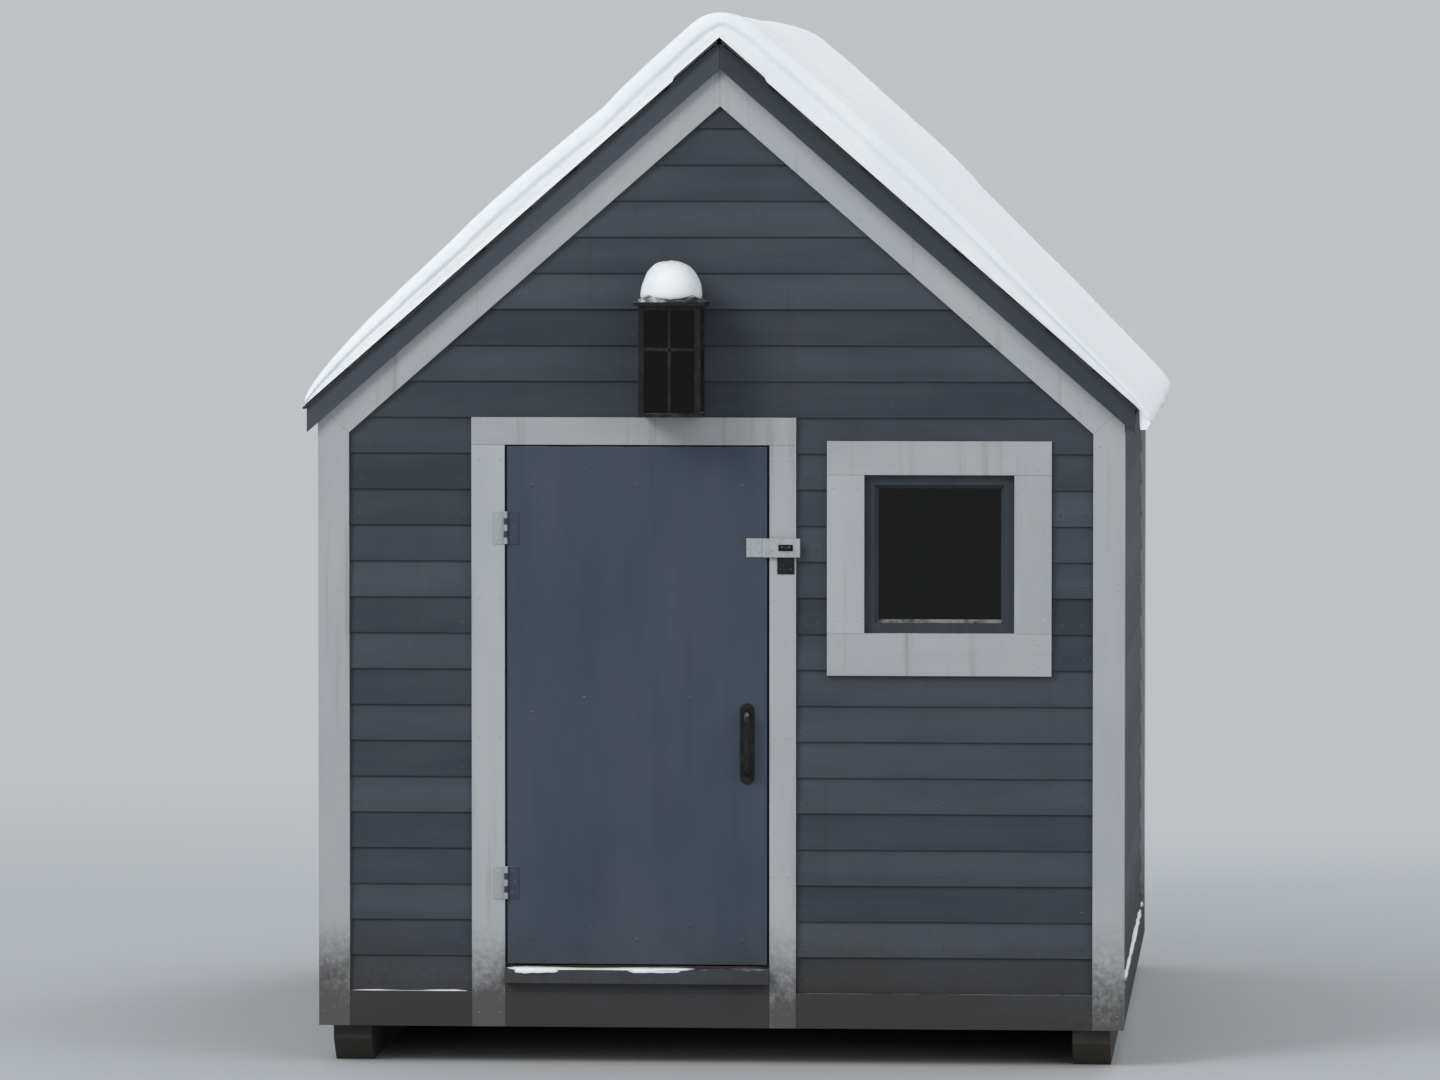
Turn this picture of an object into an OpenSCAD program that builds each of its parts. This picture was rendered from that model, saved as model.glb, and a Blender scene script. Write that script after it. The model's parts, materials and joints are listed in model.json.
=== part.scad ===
// Ice fishing hut: a small timber-framed hut on skids, with lapped board walls,
// a steep gable roof under snow, a side-hung door, a fixed window and a wall lantern.
// Millimetres. X runs to the right seen from the front, the front faces -Y, and Z is up.
// The origin is at ground level, in the middle of the hut without its snow.

/* [Frame] */
// Width of the timber frame, side to side
frame_w = 1829; // [1700:1:2100]
// Depth of the timber frame, front to back
frame_d = 2438; // [1900:1:3000]
// Length of the wall studs, which is also the height of the doorway
stud_l = 1226; // [1100:1:1400]
// Thickness of every framing timber
timber_t = 38; // [32:1:45]
// Depth of the wall studs and plates
stud_d = 64; // [55:1:90]
// Widest spacing of the studs in the side and back walls
stud_pitch = 610; // [450:1:700]

/* [Floor] */
// Side of the square skids
skid_s = 89; // [70:1:120]
// Height of the sloping cut under each end of a skid
skid_bevel = 55; // [20:1:65]
// Height of the floor joists
joist_h = 89; // [70:1:120]
// Widest spacing of the floor joists
joist_pitch = 406; // [300:1:500]
// Thickness of the plywood floor
floor_t = 15; // [12:1:22]

/* [Roof] */
// Slope of the roof in degrees
roof_pitch = 41.2; // [35:0.1:46]
// Depth of the rafters, square to the roof
rafter_d = 89; // [75:1:120]
// Length of the level seat that each rafter has on the side wall
seat_w = 41.5; // [30:0.5:50]
// Widest spacing of the rafters
rafter_pitch = 610; // [450:1:700]
// Thickness of the ridge board
ridge_t = 19; // [16:1:38]
// Height of the ridge board
ridge_h = 127; // [120:1:160]
// Thickness of the plywood roof deck
deck_t = 12; // [9:1:18]
// How far the roof deck passes the corner boards at the eaves
eave_over = 24; // [10:1:60]
// How far the shingles pass the roof deck
shingle_over = 9; // [4:1:15]
// Height of shingle that shows in each course
shingle_pitch = 143; // [120:1:180]
// Thickness of a shingle course at its lower edge
shingle_t = 6; // [5:0.5:10]
// Width of the ridge cap on each slope
cap_w = 130; // [100:1:160]

/* [Walls] */
// Thickness of the plywood sheathing
sheath_t = 12; // [9:1:18]
// Height of lapped board that shows in each row
lap_pitch = 84.4; // [70:0.1:110]
// Thickness of a lapped board at its lower edge
lap_t = 12; // [9:0.5:14]
// Thickness of a lapped board where the next one covers it
lap_tip = 5; // [3:0.5:7]
// Thickness of the trim boards
trim_t = 19; // [16:1:25]
// Width of the corner boards
corner_w = 73; // [60:1:90]
// Height of the skirt boards round the floor
skirt_h = 82; // [70:1:100]
// Width of the light trim that shows under each rake board
rake_trim_w = 65; // [50:1:80]
// Width of the dark rake boards
rake_w = 44; // [35:1:60]
// Height of the boards under the eaves
fascia_h = 64; // [50:1:80]

/* [Door] */
// Where the middle of the doorway lies, to the right of the hut's middle
door_x = -195; // [-230:1:-170]
// Width of the door leaf
leaf_w = 610; // [560:1:640]
// Thickness of the door leaf
leaf_t = 12; // [9:1:14]
// Gap on each side of the leaf
leaf_gap = 6; // [5.5:0.5:8]
// Gap under the leaf
leaf_foot_gap = 7; // [6:1:12]
// Gap over the leaf
leaf_head_gap = 5; // [5:1:10]
// Width of the casing on the hinge side
casing_hinge_w = 78; // [60:1:90]
// Width of the casing on the latch side
casing_latch_w = 62; // [50:1:75]
// Height of the casing over the door
casing_head_h = 64; // [50:1:80]
// Depth of the door sill, out from the sheathing
sill_d = 42; // [30:1:60]
// How far the door stops stand into the doorway
stop_w = 19; // [12:1:22]
// Width of the ledges and braces on the inside of the leaf
ledge_w = 89; // [60:1:100]
// Thickness of the ledges and braces
ledge_t = 19; // [12:1:25]

/* [Window] */
// Where the middle of the window lies, to the right of the hut's middle
window_x = 513; // [490:1:530]
// Width of the window opening
window_w = 351; // [300:1:370]
// Height of the window opening
window_h = 371; // [300:1:450]
// Distance from the top wall plate down to the window opening
window_drop = 69; // [60:1:120]
// Width of the casing beside the window
window_side_w = 87; // [60:1:90]
// Height of the casing over the window
window_head_w = 79; // [60:1:90]
// Height of the casing under the window
window_foot_w = 99; // [70:1:110]
// Width of the bars of the sash
sash_w = 24; // [18:1:35]
// Thickness of the sash
sash_t = 32; // [24:1:40]
// Thickness of the glass
glass_t = 4; // [3:1:6]

/* [Door hardware] */
// Distance of the hinges from the ends of the leaf
hinge_in = 190; // [120:1:260]
// Length of a hinge
hinge_l = 76; // [60:1:100]
// Width of each hinge plate
hinge_plate_w = 30; // [20:1:38]
// Radius of the hinge knuckles
knuckle_r = 4.5; // [4:0.5:5]
// Radius of the hinge pins
pin_r = 2.5; // [2:0.1:3]
// Height of the middle of the door pull over the floor
pull_z = 564; // [400:1:800]
// Length of the door pull's plate
pull_l = 190; // [160:1:220]
// Width of the door pull's plate
pull_plate_w = 34; // [28:1:50]
// Distance of the door pull from the latch edge of the leaf
pull_in = 46; // [35:1:80]
// How far the door pull stands out from the leaf
pull_out = 40; // [30:1:50]
// Height of the hasp over the floor
hasp_z = 1024; // [800:1:1100]
// Length of the hasp strap
hasp_l = 126; // [110:1:134]
// Height of the hasp strap
hasp_h = 44; // [40:1:60]

/* [Lantern] */
// Where the lantern lies, to the right of the hut's middle
lantern_x = -108; // [-150:1:0]
// Width of the lantern's body
lantern_w = 144; // [120:1:180]
// Height of the lantern's body
lantern_h = 259; // [200:1:300]
// Width of the lantern's cap
lantern_cap_w = 166; // [160:1:210]
// Height of the lantern's cap
lantern_cap_h = 52; // [35:1:70]
// Height of the snow on the lantern, over the edge of its cap
lantern_snow_h = 108; // [90:1:140]

/* [Snow] */
// Thickness of the snow on the left slope
snow_t = 76; // [40:1:120]
// Radius of the snow over the ridge, on the left
snow_ridge_r = 100; // [60:1:240]
// Length of slope over the left eave on which the snow thins out
snow_fall = 700; // [100:5:800]
// How far the snow passes the lower edge of the left shingles
snow_over = 2; // [0:1:20]
// How much deeper the snow lies near the ridge on the right slope
snow_heap = 14; // [0:1:30]
// Length of slope from the ridge down to where the snow on the right starts to thin out
snow_even = 260; // [200:5:500]
// How far the snow has crept past the lower edge of the right shingles
snow_creep = 48; // [40:1:52]
// Radius of the snow's lip over the right eave
snow_lip_r = 30; // [22:1:34]
// How far the middle of that lip lies under the top of the roof deck
snow_droop = 3; // [0:1:12]

/* [Hidden] */

// Width of the joint between two boards that meet
joint = 0.5;
// Clearance between soft snow and what it lies on
snow_gap = 0.3;
// Clearance between a moving piece and a fixed one
clear = 5;

// Colours
c_timber = [0.72, 0.58, 0.40];
c_ply = [0.76, 0.63, 0.45];
c_slate = [0.22, 0.26, 0.31];
c_door = [0.24, 0.29, 0.36];
c_light = [0.60, 0.61, 0.62];
c_skid = [0.30, 0.28, 0.25];
c_iron = [0.07, 0.07, 0.08];
c_zinc = [0.62, 0.64, 0.66];
c_glass = [0.10, 0.11, 0.12, 0.6];
c_snow = [0.93, 0.95, 0.98];

// Heights
joist_z = skid_s;
floor_z = joist_z + joist_h;
room_z = floor_z + floor_t;
stud_z = room_z + timber_t;
head_z = stud_z + stud_l;
wall_z = head_z + timber_t;
skirt_z = joist_z + skirt_h;

// Faces to left and right
frame_x = frame_w / 2;
wall_x = frame_x + sheath_t;
trim_x = wall_x + trim_t;
eave_x = trim_x + eave_over;
corner_x = trim_x - corner_w;

// Thickness of the dark rake boards
rake_t = trim_t;
// Depth of the lantern's arms, which keep its cap just off the lapped boards
lantern_arm_d = (lantern_cap_w - lantern_w) / 2 + 1;

// Reach of the hut in front of and behind its frame, which sets the origin
lantern_back = lap_t + lantern_arm_d;
lantern_reach = sheath_t + lantern_back + (lantern_w + lantern_cap_w) / 2;
roof_reach = sheath_t + trim_t + rake_t + shingle_over;
mid_y = (lantern_reach - roof_reach) / 2;

// Faces to front and back
front_y = mid_y - frame_d / 2;
back_y = mid_y + frame_d / 2;
wall_fy = front_y - sheath_t;
wall_by = back_y + sheath_t;
trim_fy = wall_fy - trim_t;
trim_by = wall_by + trim_t;
rake_fy = trim_fy - rake_t;
roof_fy = rake_fy - shingle_over;
roof_by = 2 * mid_y - roof_fy;

// Roof: n is a depth below the top of the roof deck, square to the slope
cos_p = cos(roof_pitch);
sin_p = sin(roof_pitch);
tan_p = tan(roof_pitch);
deck_top_z = wall_z - seat_w * tan_p + (rafter_d + deck_t) / cos_p + frame_x * tan_p;
function roof_z(n, x) = deck_top_z - n / cos_p - abs(x) * tan_p;
// A point u down the right slope from the ridge and h above the top of the roof deck
function slope_at(u, h) = [u * cos_p + h * sin_p, deck_top_z - u * sin_p + h * cos_p];
eave_u = eave_x / cos_p;
trim_n = rake_w + rake_trim_w;

// Door
leaf_x0 = door_x - leaf_w / 2;
leaf_x1 = door_x + leaf_w / 2;
door_x0 = leaf_x0 - leaf_gap;
door_x1 = leaf_x1 + leaf_gap;
leaf_z0 = stud_z + leaf_foot_gap;
leaf_z1 = head_z - leaf_head_gap;
leaf_y0 = trim_fy;
leaf_y1 = leaf_y0 + leaf_t;
casing_x0 = door_x0 - casing_hinge_w;
casing_x1 = door_x1 + casing_latch_w;
casing_z1 = head_z + casing_head_h;
sill_z1 = stud_z - 2;

// Window
window_x0 = window_x - window_w / 2;
window_x1 = window_x + window_w / 2;
window_z1 = head_z - window_drop;
window_z0 = window_z1 - window_h;
glass_in = 8;
glass_y = wall_fy + sash_t / 2;

// Hinges
axis_x = (leaf_x0 + door_x0) / 2;
axis_y = leaf_y0 - knuckle_r - joint;
plate_t = 2;
knuckles = 5;

// Door pull and hasp
pull_w = 15;
pull_bend = 16;
pull_plate_t = 3;
// Distance between the pull's plate ends and the middle of each leg of its bow
pull_leg_in = 27;
hasp_t = 2.5;
hasp_off = plate_t + clear;
// The radius of the hasp's knuckle, which joins its base plate to its raised strap
hasp_r = (hasp_off + hasp_t) / 2;
// Lengths of the hasp's base plate, and of its strap past the staple
hasp_base_l = 54;
hasp_tail = 33.6;
staple_wire = 5;
staple_w = 24;
staple_out = 20;
// The staple's plate: its width, and its reach over and under the strap's middle
staple_plate_w = 40;
staple_plate_top = 16;
staple_plate_foot = 62;

// Lantern
lantern_z = casing_z1 + clear;
lantern_post = 13;
lantern_rim = 9;
lantern_glass_t = 3;
lantern_plate_w = 0.6 * lantern_w;
lantern_plate_t = 6;
lantern_arm_w = 26;

// A box from its lowest corner to its highest
module slab(low, high) {
    translate(low) cube(high - low);
}

// An outline drawn in X and Z, made solid from y0 to y1
module upright(y0, y1) {
    translate([0, y1, 0]) rotate([90, 0, 0]) linear_extrude(y1 - y0) children();
}

// An outline drawn in Y and Z, made solid from x0 to x1
module across(x0, x1) {
    translate([x0, 0, 0]) rotate([90, 0, 90]) linear_extrude(x1 - x0) children();
}

// The right-hand piece and its mirror image on the left
module left_and_right() {
    children();
    mirror([1, 0, 0]) children();
}

// The front piece and its mirror image at the back
module front_and_back() {
    children();
    translate([0, 2 * mid_y, 0]) mirror([0, 1, 0]) children();
}

// Places for equal pieces of width w between a and b, both ends taken, at most pitch apart
function spaced(a, b, w, pitch) =
    let (n = ceil((b - a - w) / pitch)) [for (i = [0:n]) a + (b - a - w) * i / n];

// A band of the right slope between depths n0 and n1, with plumb ends at x0 and x1
module slope_band(n0, n1, x0, x1) {
    polygon([
        [x0, roof_z(n0, x0)], [x1, roof_z(n0, x1)],
        [x1, roof_z(n1, x1)], [x0, roof_z(n1, x0)]
    ]);
}

// The floor: skids, rims, joists and deck

module skids() {
    color(c_skid) left_and_right() across(frame_x - skid_s, frame_x) polygon([
        [front_y + skid_bevel, 0], [back_y - skid_bevel, 0], [back_y, skid_bevel],
        [back_y, skid_s], [front_y, skid_s], [front_y, skid_bevel]
    ]);
}

module side_rims() {
    color(c_timber) left_and_right()
        slab([frame_x - timber_t, front_y, joist_z], [frame_x, back_y, floor_z]);
}

module floor_joists() {
    reach = frame_x - timber_t;
    color(c_timber) for (y = spaced(front_y, back_y, timber_t, joist_pitch))
        slab([-reach, y, joist_z], [reach, y + timber_t, floor_z]);
}

module floor_deck() {
    color(c_ply) slab([-frame_x, front_y, floor_z], [frame_x, back_y, room_z]);
}

// The wall frames

module end_wall_plates() {
    color(c_timber) front_and_back() for (z = [room_z, head_z])
        slab([-frame_x, front_y, z], [frame_x, front_y + stud_d, z + timber_t]);
}

module side_wall_plates() {
    color(c_timber) left_and_right() for (z = [room_z, head_z])
        slab([frame_x - stud_d, front_y + stud_d, z], [frame_x, back_y - stud_d, z + timber_t]);
}

// A stud of an end wall, standing on z0, that reaches z1
module end_stud(x, y, z0, z1) {
    slab([x, y, z0], [x + timber_t, y + stud_d, z1]);
}

// The short studs that stand on an end wall's top plate, under the rafters and the ridge board
module gable_studs() {
    half = timber_t / 2;
    side = frame_x / 2;
    rafter_n = deck_t + rafter_d;
    slab([-half, front_y, wall_z], [half, front_y + stud_d, ridge_z]);
    left_and_right() upright(front_y, front_y + stud_d) polygon([
        [side - half, wall_z], [side + half, wall_z],
        [side + half, roof_z(rafter_n, side + half)], [side - half, roof_z(rafter_n, side - half)]
    ]);
}

module end_studs() {
    front = [
        -frame_x, door_x0 - timber_t, door_x1,
        window_x0 - timber_t, window_x1, frame_x - timber_t
    ];
    color(c_timber) {
        for (x = front) end_stud(x, front_y, stud_z, head_z);
        for (x = spaced(-frame_x, frame_x, timber_t, stud_pitch))
            end_stud(x, back_y - stud_d, stud_z, head_z);
        front_and_back() gable_studs();
    }
}

module side_studs() {
    color(c_timber) left_and_right()
        for (y = spaced(front_y + stud_d, back_y - stud_d, timber_t, stud_pitch))
            slab([frame_x - stud_d, y, stud_z], [frame_x, y + timber_t, head_z]);
}

module window_framing() {
    color(c_timber) for (z = [window_z0 - timber_t, window_z1])
        slab([window_x0, front_y, z], [window_x1, front_y + stud_d, z + timber_t]);
}

// The roof frame

ridge_top = roof_z(deck_t, ridge_t / 2);
ridge_z = ridge_top - ridge_h;

module rafters() {
    x0 = ridge_t / 2;
    n1 = deck_t + rafter_d;
    color(c_timber) for (y = spaced(front_y, back_y, timber_t, rafter_pitch))
        left_and_right() upright(y, y + timber_t) polygon([
            [x0, roof_z(deck_t, x0)], [frame_x, roof_z(deck_t, frame_x)],
            [frame_x, wall_z], [frame_x - seat_w, wall_z], [x0, roof_z(n1, x0)]
        ]);
}

module ridge_board() {
    color(c_timber) slab([-ridge_t / 2, front_y, ridge_z], [ridge_t / 2, back_y, ridge_top]);
}

// The sheathing: the front is split beside and over the doorway

module front_wall() {
    color(c_ply) {
        slab([-wall_x, wall_fy, joist_z], [door_x0, front_y, head_z]);
        difference() {
            slab([door_x1, wall_fy, joist_z], [wall_x, front_y, head_z]);
            slab([window_x0, wall_fy - 1, window_z0], [window_x1, front_y + 1, window_z1]);
        }
    }
}

// The outline of an end wall from z0 up to the underside of the roof deck
module gable_outline(z0) {
    polygon([
        [-wall_x, z0], [wall_x, z0], [wall_x, roof_z(deck_t, wall_x)],
        [0, roof_z(deck_t, 0)], [-wall_x, roof_z(deck_t, wall_x)]
    ]);
}

module front_gable() {
    color(c_ply) upright(wall_fy, front_y) gable_outline(head_z);
}

module back_wall() {
    color(c_ply) upright(back_y, wall_by) gable_outline(joist_z);
}

module right_sheathing() {
    upright(front_y, back_y) polygon([
        [frame_x, joist_z], [wall_x, joist_z],
        [wall_x, roof_z(deck_t, wall_x)], [frame_x, roof_z(deck_t, frame_x)]
    ]);
}

module left_wall() {
    color(c_ply) mirror([1, 0, 0]) right_sheathing();
}

module right_wall() {
    color(c_ply) right_sheathing();
}

// The lapped boards

// The section of a lapped wall of n rows from z0 up, as points of depth and height
function lap_section(z0, n) = concat(
    [[0, z0]],
    [for (i = [0:n - 1]) each [[lap_t, z0 + i * lap_pitch], [lap_tip, z0 + (i + 1) * lap_pitch]]],
    [[0, z0 + n * lap_pitch]]
);
gable_rows = ceil((deck_top_z - skirt_z) / lap_pitch);
fascia_z = roof_z(deck_t, trim_x) - fascia_h;
side_rows = ceil((fascia_z - skirt_z) / lap_pitch);

// The lapped face of the front wall, as wide as the hut and up to the ridge
module lapped_front() {
    across(-corner_x + joint, corner_x - joint)
        polygon([for (p = lap_section(skirt_z, gable_rows)) [wall_fy - p[0], p[1]]]);
}

// The outline of an end wall's lapped boards, between the corner boards and the rake trim
module lapped_outline() {
    n = trim_n + joint;
    polygon([
        [-corner_x, skirt_z + joint], [corner_x, skirt_z + joint],
        [corner_x, roof_z(n, corner_x)], [0, roof_z(n, 0)], [-corner_x, roof_z(n, corner_x)]
    ]);
}

module front_siding() {
    color(c_slate) intersection() {
        lapped_front();
        upright(wall_fy - lap_t - 1, wall_fy) difference() {
            lapped_outline();
            translate([casing_x0 - joint, 0])
                square([casing_x1 - casing_x0 + 2 * joint, casing_z1 + joint]);
            translate([window_x0 - window_side_w - joint, window_z0 - window_foot_w - joint])
                square([
                    window_w + 2 * (window_side_w + joint),
                    window_h + window_foot_w + window_head_w + 2 * joint
                ]);
        }
    }
}

module back_siding() {
    color(c_slate) translate([0, 2 * mid_y, 0]) mirror([0, 1, 0]) intersection() {
        lapped_front();
        upright(wall_fy - lap_t - 1, wall_fy) lapped_outline();
    }
}

module right_lapping() {
    y0 = wall_fy + corner_w + joint;
    y1 = wall_by - corner_w - joint;
    intersection() {
        upright(y0, y1) polygon([for (p = lap_section(skirt_z, side_rows)) [wall_x + p[0], p[1]]]);
        slab([wall_x, y0, skirt_z + joint], [wall_x + lap_t, y1, fascia_z - joint]);
    }
}

module left_siding() {
    color(c_slate) mirror([1, 0, 0]) right_lapping();
}

module right_siding() {
    color(c_slate) right_lapping();
}

// The roof covering

module roof_deck() {
    color(c_ply) upright(trim_fy, trim_by) left_and_right()
        slope_band(0, deck_t, joint / 2, eave_x);
}

shingle_tip = shingle_t / 2;
// Thickness of the felt between the roof deck and the shingles
felt_t = 0.4;
shingle_u1 = eave_u + shingle_over;
// The ridge end of the shingles on one slope
shingle_u0 = 3;
courses = ceil((shingle_u1 - shingle_u0) / shingle_pitch);
// The thickness of a course at a distance up the slope from its lower edge
function course_t(d) = shingle_t - (shingle_t - shingle_tip) * d / shingle_pitch;

module shingles() {
    color(c_iron) left_and_right() upright(roof_fy, roof_by) polygon(concat(
        [slope_at(shingle_u0, felt_t), slope_at(shingle_u1, felt_t)],
        [for (i = [0:courses - 1])
            let (u1 = shingle_u1 - i * shingle_pitch, u0 = max(u1 - shingle_pitch, shingle_u0))
            each [slope_at(u1, shingle_t), slope_at(u0, course_t(u1 - u0))]]
    ));
}

cap_t = 5;
// The height of the ridge cap's top face over the roof deck
cap_h = shingle_t + cap_t;

module ridge_cap() {
    color(c_iron) upright(roof_fy, roof_by) polygon([
        slope_at(cap_w, shingle_t), slope_at(cap_w, cap_h),
        [0, roof_z(-cap_h, 0)],
        mirrored(slope_at(cap_w, cap_h)), mirrored(slope_at(cap_w, shingle_t)),
        [0, roof_z(-shingle_t, 0)]
    ]);
}

function mirrored(p) = [-p[0], p[1]];

// The trim

// The mitre between a corner board and the rake trim over it
mitre_in = [corner_x, roof_z(trim_n, corner_x)];
mitre_out = [trim_x, roof_z(deck_t, trim_x)];

module rake_trim() {
    color(c_light) front_and_back() upright(trim_fy, wall_fy) left_and_right() polygon([
        [joint / 2, roof_z(deck_t, joint / 2)], mitre_out, mitre_in,
        [joint / 2, roof_z(trim_n, joint / 2)]
    ]);
}

module rake_boards() {
    color(c_slate) front_and_back() upright(rake_fy, trim_fy) left_and_right()
        slope_band(0, rake_w, joint / 2, eave_x);
}

module eave_fascias() {
    color(c_slate) left_and_right() upright(wall_fy, wall_by) polygon([
        [wall_x, fascia_z], [trim_x, fascia_z],
        [trim_x, roof_z(deck_t, trim_x)], [wall_x, roof_z(deck_t, wall_x)]
    ]);
}

module corner_boards() {
    color(c_light) left_and_right() front_and_back() {
        upright(trim_fy, wall_fy - joint) polygon([
            [corner_x, joist_z], [trim_x, joist_z],
            mitre_out - [0, joint], mitre_in - [0, joint]
        ]);
        slab([wall_x, wall_fy, joist_z], [trim_x, wall_fy + corner_w, fascia_z]);
    }
}

module skirt_boards() {
    color(c_slate) {
        slab([-corner_x + joint, trim_fy, joist_z], [casing_x0 - joint, wall_fy, skirt_z]);
        slab([door_x0 + joint, trim_fy, joist_z], [door_x1 - joint, wall_fy, skirt_z]);
        slab([casing_x1 + joint, trim_fy, joist_z], [corner_x - joint, wall_fy, skirt_z]);
        slab([-corner_x + joint, wall_by, joist_z], [corner_x - joint, trim_by, skirt_z]);
        left_and_right() slab(
            [wall_x, wall_fy + corner_w + joint, joist_z],
            [trim_x, wall_by - corner_w - joint, skirt_z]
        );
    }
}

// The doorway

module door_casing() {
    color(c_light) {
        slab([casing_x0, trim_fy, joist_z], [door_x0, wall_fy, head_z - joint]);
        slab([door_x1, trim_fy, joist_z], [casing_x1, wall_fy, head_z - joint]);
        slab([casing_x0, trim_fy, head_z], [casing_x1, wall_fy, casing_z1]);
    }
}

module door_stops() {
    y0 = leaf_y1 + clear;
    y1 = front_y + stud_d / 2;
    color(c_slate) {
        slab([door_x0, y0, stud_z], [door_x0 + stop_w, y1, head_z]);
        slab([door_x1 - stop_w, y0, stud_z], [door_x1, y1, head_z]);
        slab([door_x0 + stop_w + joint, y0, head_z - stop_w],
            [door_x1 - stop_w - joint, y1, head_z]);
    }
}

// The sill slopes a little to the front, with a drip groove under its nose and an apron below it
module door_sill() {
    fall = 4;
    groove = 5;
    nose_y = wall_fy - sill_d;
    color(c_slate) difference() {
        across(door_x0 + joint, door_x1 - joint) polygon([
            [trim_fy, skirt_z + joint], [wall_fy, skirt_z + joint],
            [wall_fy, sill_z1], [nose_y, sill_z1 - fall],
            [nose_y, room_z + joint], [trim_fy, room_z + joint]
        ]);
        slab([door_x0, nose_y + groove, room_z], [door_x1, nose_y + 2 * groove, room_z + groove]);
    }
}

// The window

module window_casing() {
    x0 = window_x0 - window_side_w;
    x1 = window_x1 + window_side_w;
    color(c_light) {
        for (x = [x0, window_x1])
            slab([x, trim_fy, window_z0 + joint],
                [x + window_side_w, wall_fy, window_z1 - joint]);
        slab([x0, trim_fy, window_z1], [x1, wall_fy, window_z1 + window_head_w]);
        slab([x0, trim_fy, window_z0 - window_foot_w], [x1, wall_fy, window_z0]);
    }
}

// The window opening made smaller by m all round, from y0 to y1
module in_window(m, y0, y1) {
    slab([window_x0 + m, y0, window_z0 + m], [window_x1 - m, y1, window_z1 - m]);
}

module window_sash() {
    color(c_slate) difference() {
        in_window(joint, wall_fy, wall_fy + sash_t);
        in_window(sash_w, wall_fy - 1, wall_fy + sash_t + 1);
        in_window(sash_w - glass_in, glass_y - glass_t / 2, glass_y + glass_t / 2);
    }
}

module window_glass() {
    y0 = glass_y - glass_t / 2;
    y1 = glass_y + glass_t / 2;
    color(c_glass) in_window(sash_w - glass_in, y0, y1);
}

// The door leaf

module door_panel() {
    color(c_door) slab([leaf_x0, leaf_y0, leaf_z0], [leaf_x1, leaf_y1, leaf_z1]);
}

ledge_in = stop_w + 2 * clear;
ledge_x0 = door_x0 + ledge_in;
ledge_x1 = door_x1 - ledge_in;
ledge_low_z = leaf_z0 + ledge_in;
ledge_mid_z = (leaf_z0 + leaf_z1 - ledge_w) / 2;
// How far a brace leans from upright
brace_tilt = 34;
ledge_top_z = leaf_z1 - ledge_in - ledge_w;

// A brace that rises from the hinge side, between the ledge tops at z0 and the next ledge at z1
module brace(z0, z1) {
    foot = ledge_w / cos(brace_tilt);
    upright(leaf_y1, leaf_y1 + ledge_t) polygon([
        [ledge_x0, z0 + joint], [ledge_x0 + foot, z0 + joint],
        [ledge_x1, z1 - joint], [ledge_x1 - foot, z1 - joint]
    ]);
}

module door_ledges() {
    color(c_timber) {
        for (z = [ledge_low_z, ledge_mid_z, ledge_top_z])
            slab([ledge_x0, leaf_y1, z], [ledge_x1, leaf_y1 + ledge_t, z + ledge_w]);
        brace(ledge_low_z + ledge_w, ledge_mid_z);
        brace(ledge_mid_z + ledge_w, ledge_top_z);
    }
}

// The hinges: the casing's plates carry the pins and the odd knuckles

knuckle_l = hinge_l / knuckles;
hinge_zs = [leaf_z0 + hinge_in - hinge_l / 2, leaf_z1 - hinge_in - hinge_l / 2];

// One hinge plate against the face of the door or casing, with its knuckles, from z
module hinge_half(z, side, which) {
    slab([axis_x + (side < 0 ? -hinge_plate_w : 0), leaf_y0 - plate_t, z],
        [axis_x + (side < 0 ? 0 : hinge_plate_w), leaf_y0, z + hinge_l]);
    for (i = which) translate([axis_x, axis_y, z + i * knuckle_l + joint / 2])
        cylinder(r = knuckle_r, h = knuckle_l - joint, $fn = 48);
}

// Room round the knuckles of the other half
module knuckle_room(z, which) {
    for (i = which) translate([axis_x, axis_y, z + i * knuckle_l - joint / 2])
        cylinder(r = knuckle_r + joint, h = knuckle_l + joint, $fn = 48);
}

module door_hinges() {
    color(c_light) for (z = hinge_zs) {
        difference() {
            hinge_half(z, -1, [0, 2, 4]);
            knuckle_room(z, [1, 3]);
        }
        translate([axis_x, axis_y, z]) cylinder(r = pin_r, h = hinge_l, $fn = 32);
    }
}

module door_hinge_leaves() {
    color(c_door) for (z = hinge_zs) difference() {
        hinge_half(z, 1, [1, 3]);
        knuckle_room(z, [0, 2, 4]);
        translate([axis_x, axis_y, z - 1]) cylinder(r = pin_r + 0.1, h = hinge_l + 2, $fn = 32);
    }
}

// The door pull: a round bar bent into a bow on a long plate with round ends
module door_pull() {
    bar_r = pull_w / 2;
    reach = pull_l / 2 - pull_leg_in;
    leg = pull_out - bar_r - pull_bend;
    straight = pull_l - pull_plate_w;
    color(c_iron) translate([leaf_x1 - pull_in, leaf_y0, room_z + pull_z]) {
        rotate([90, 0, 0]) linear_extrude(pull_plate_t) {
            square([pull_plate_w, straight], center = true);
            for (z = [-straight / 2, straight / 2]) translate([0, z]) circle(d = pull_plate_w, $fn = 48);
        }
        for (s = [0, 1]) mirror([0, 0, s]) translate([0, 0, reach]) {
            rotate([90, 0, 0]) cylinder(r = bar_r, h = leg, $fn = 32);
            translate([0, -leg, -pull_bend]) rotate([0, -90, 0]) rotate([0, 0, -90])
                rotate_extrude(angle = 90, $fn = 64) translate([pull_bend, 0]) circle(r = bar_r, $fn = 32);
        }
        translate([0, -leg - pull_bend, pull_bend - reach])
            cylinder(r = bar_r, h = 2 * (reach - pull_bend), $fn = 32);
    }
}

// The hasp: a base plate on the leaf, a knuckle, and a strap over the casing with a slot

hasp_x0 = door_x1 - hasp_base_l;
staple_x = hasp_x0 + hasp_l - hasp_tail;
hasp_mid_z = room_z + hasp_z;

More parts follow.
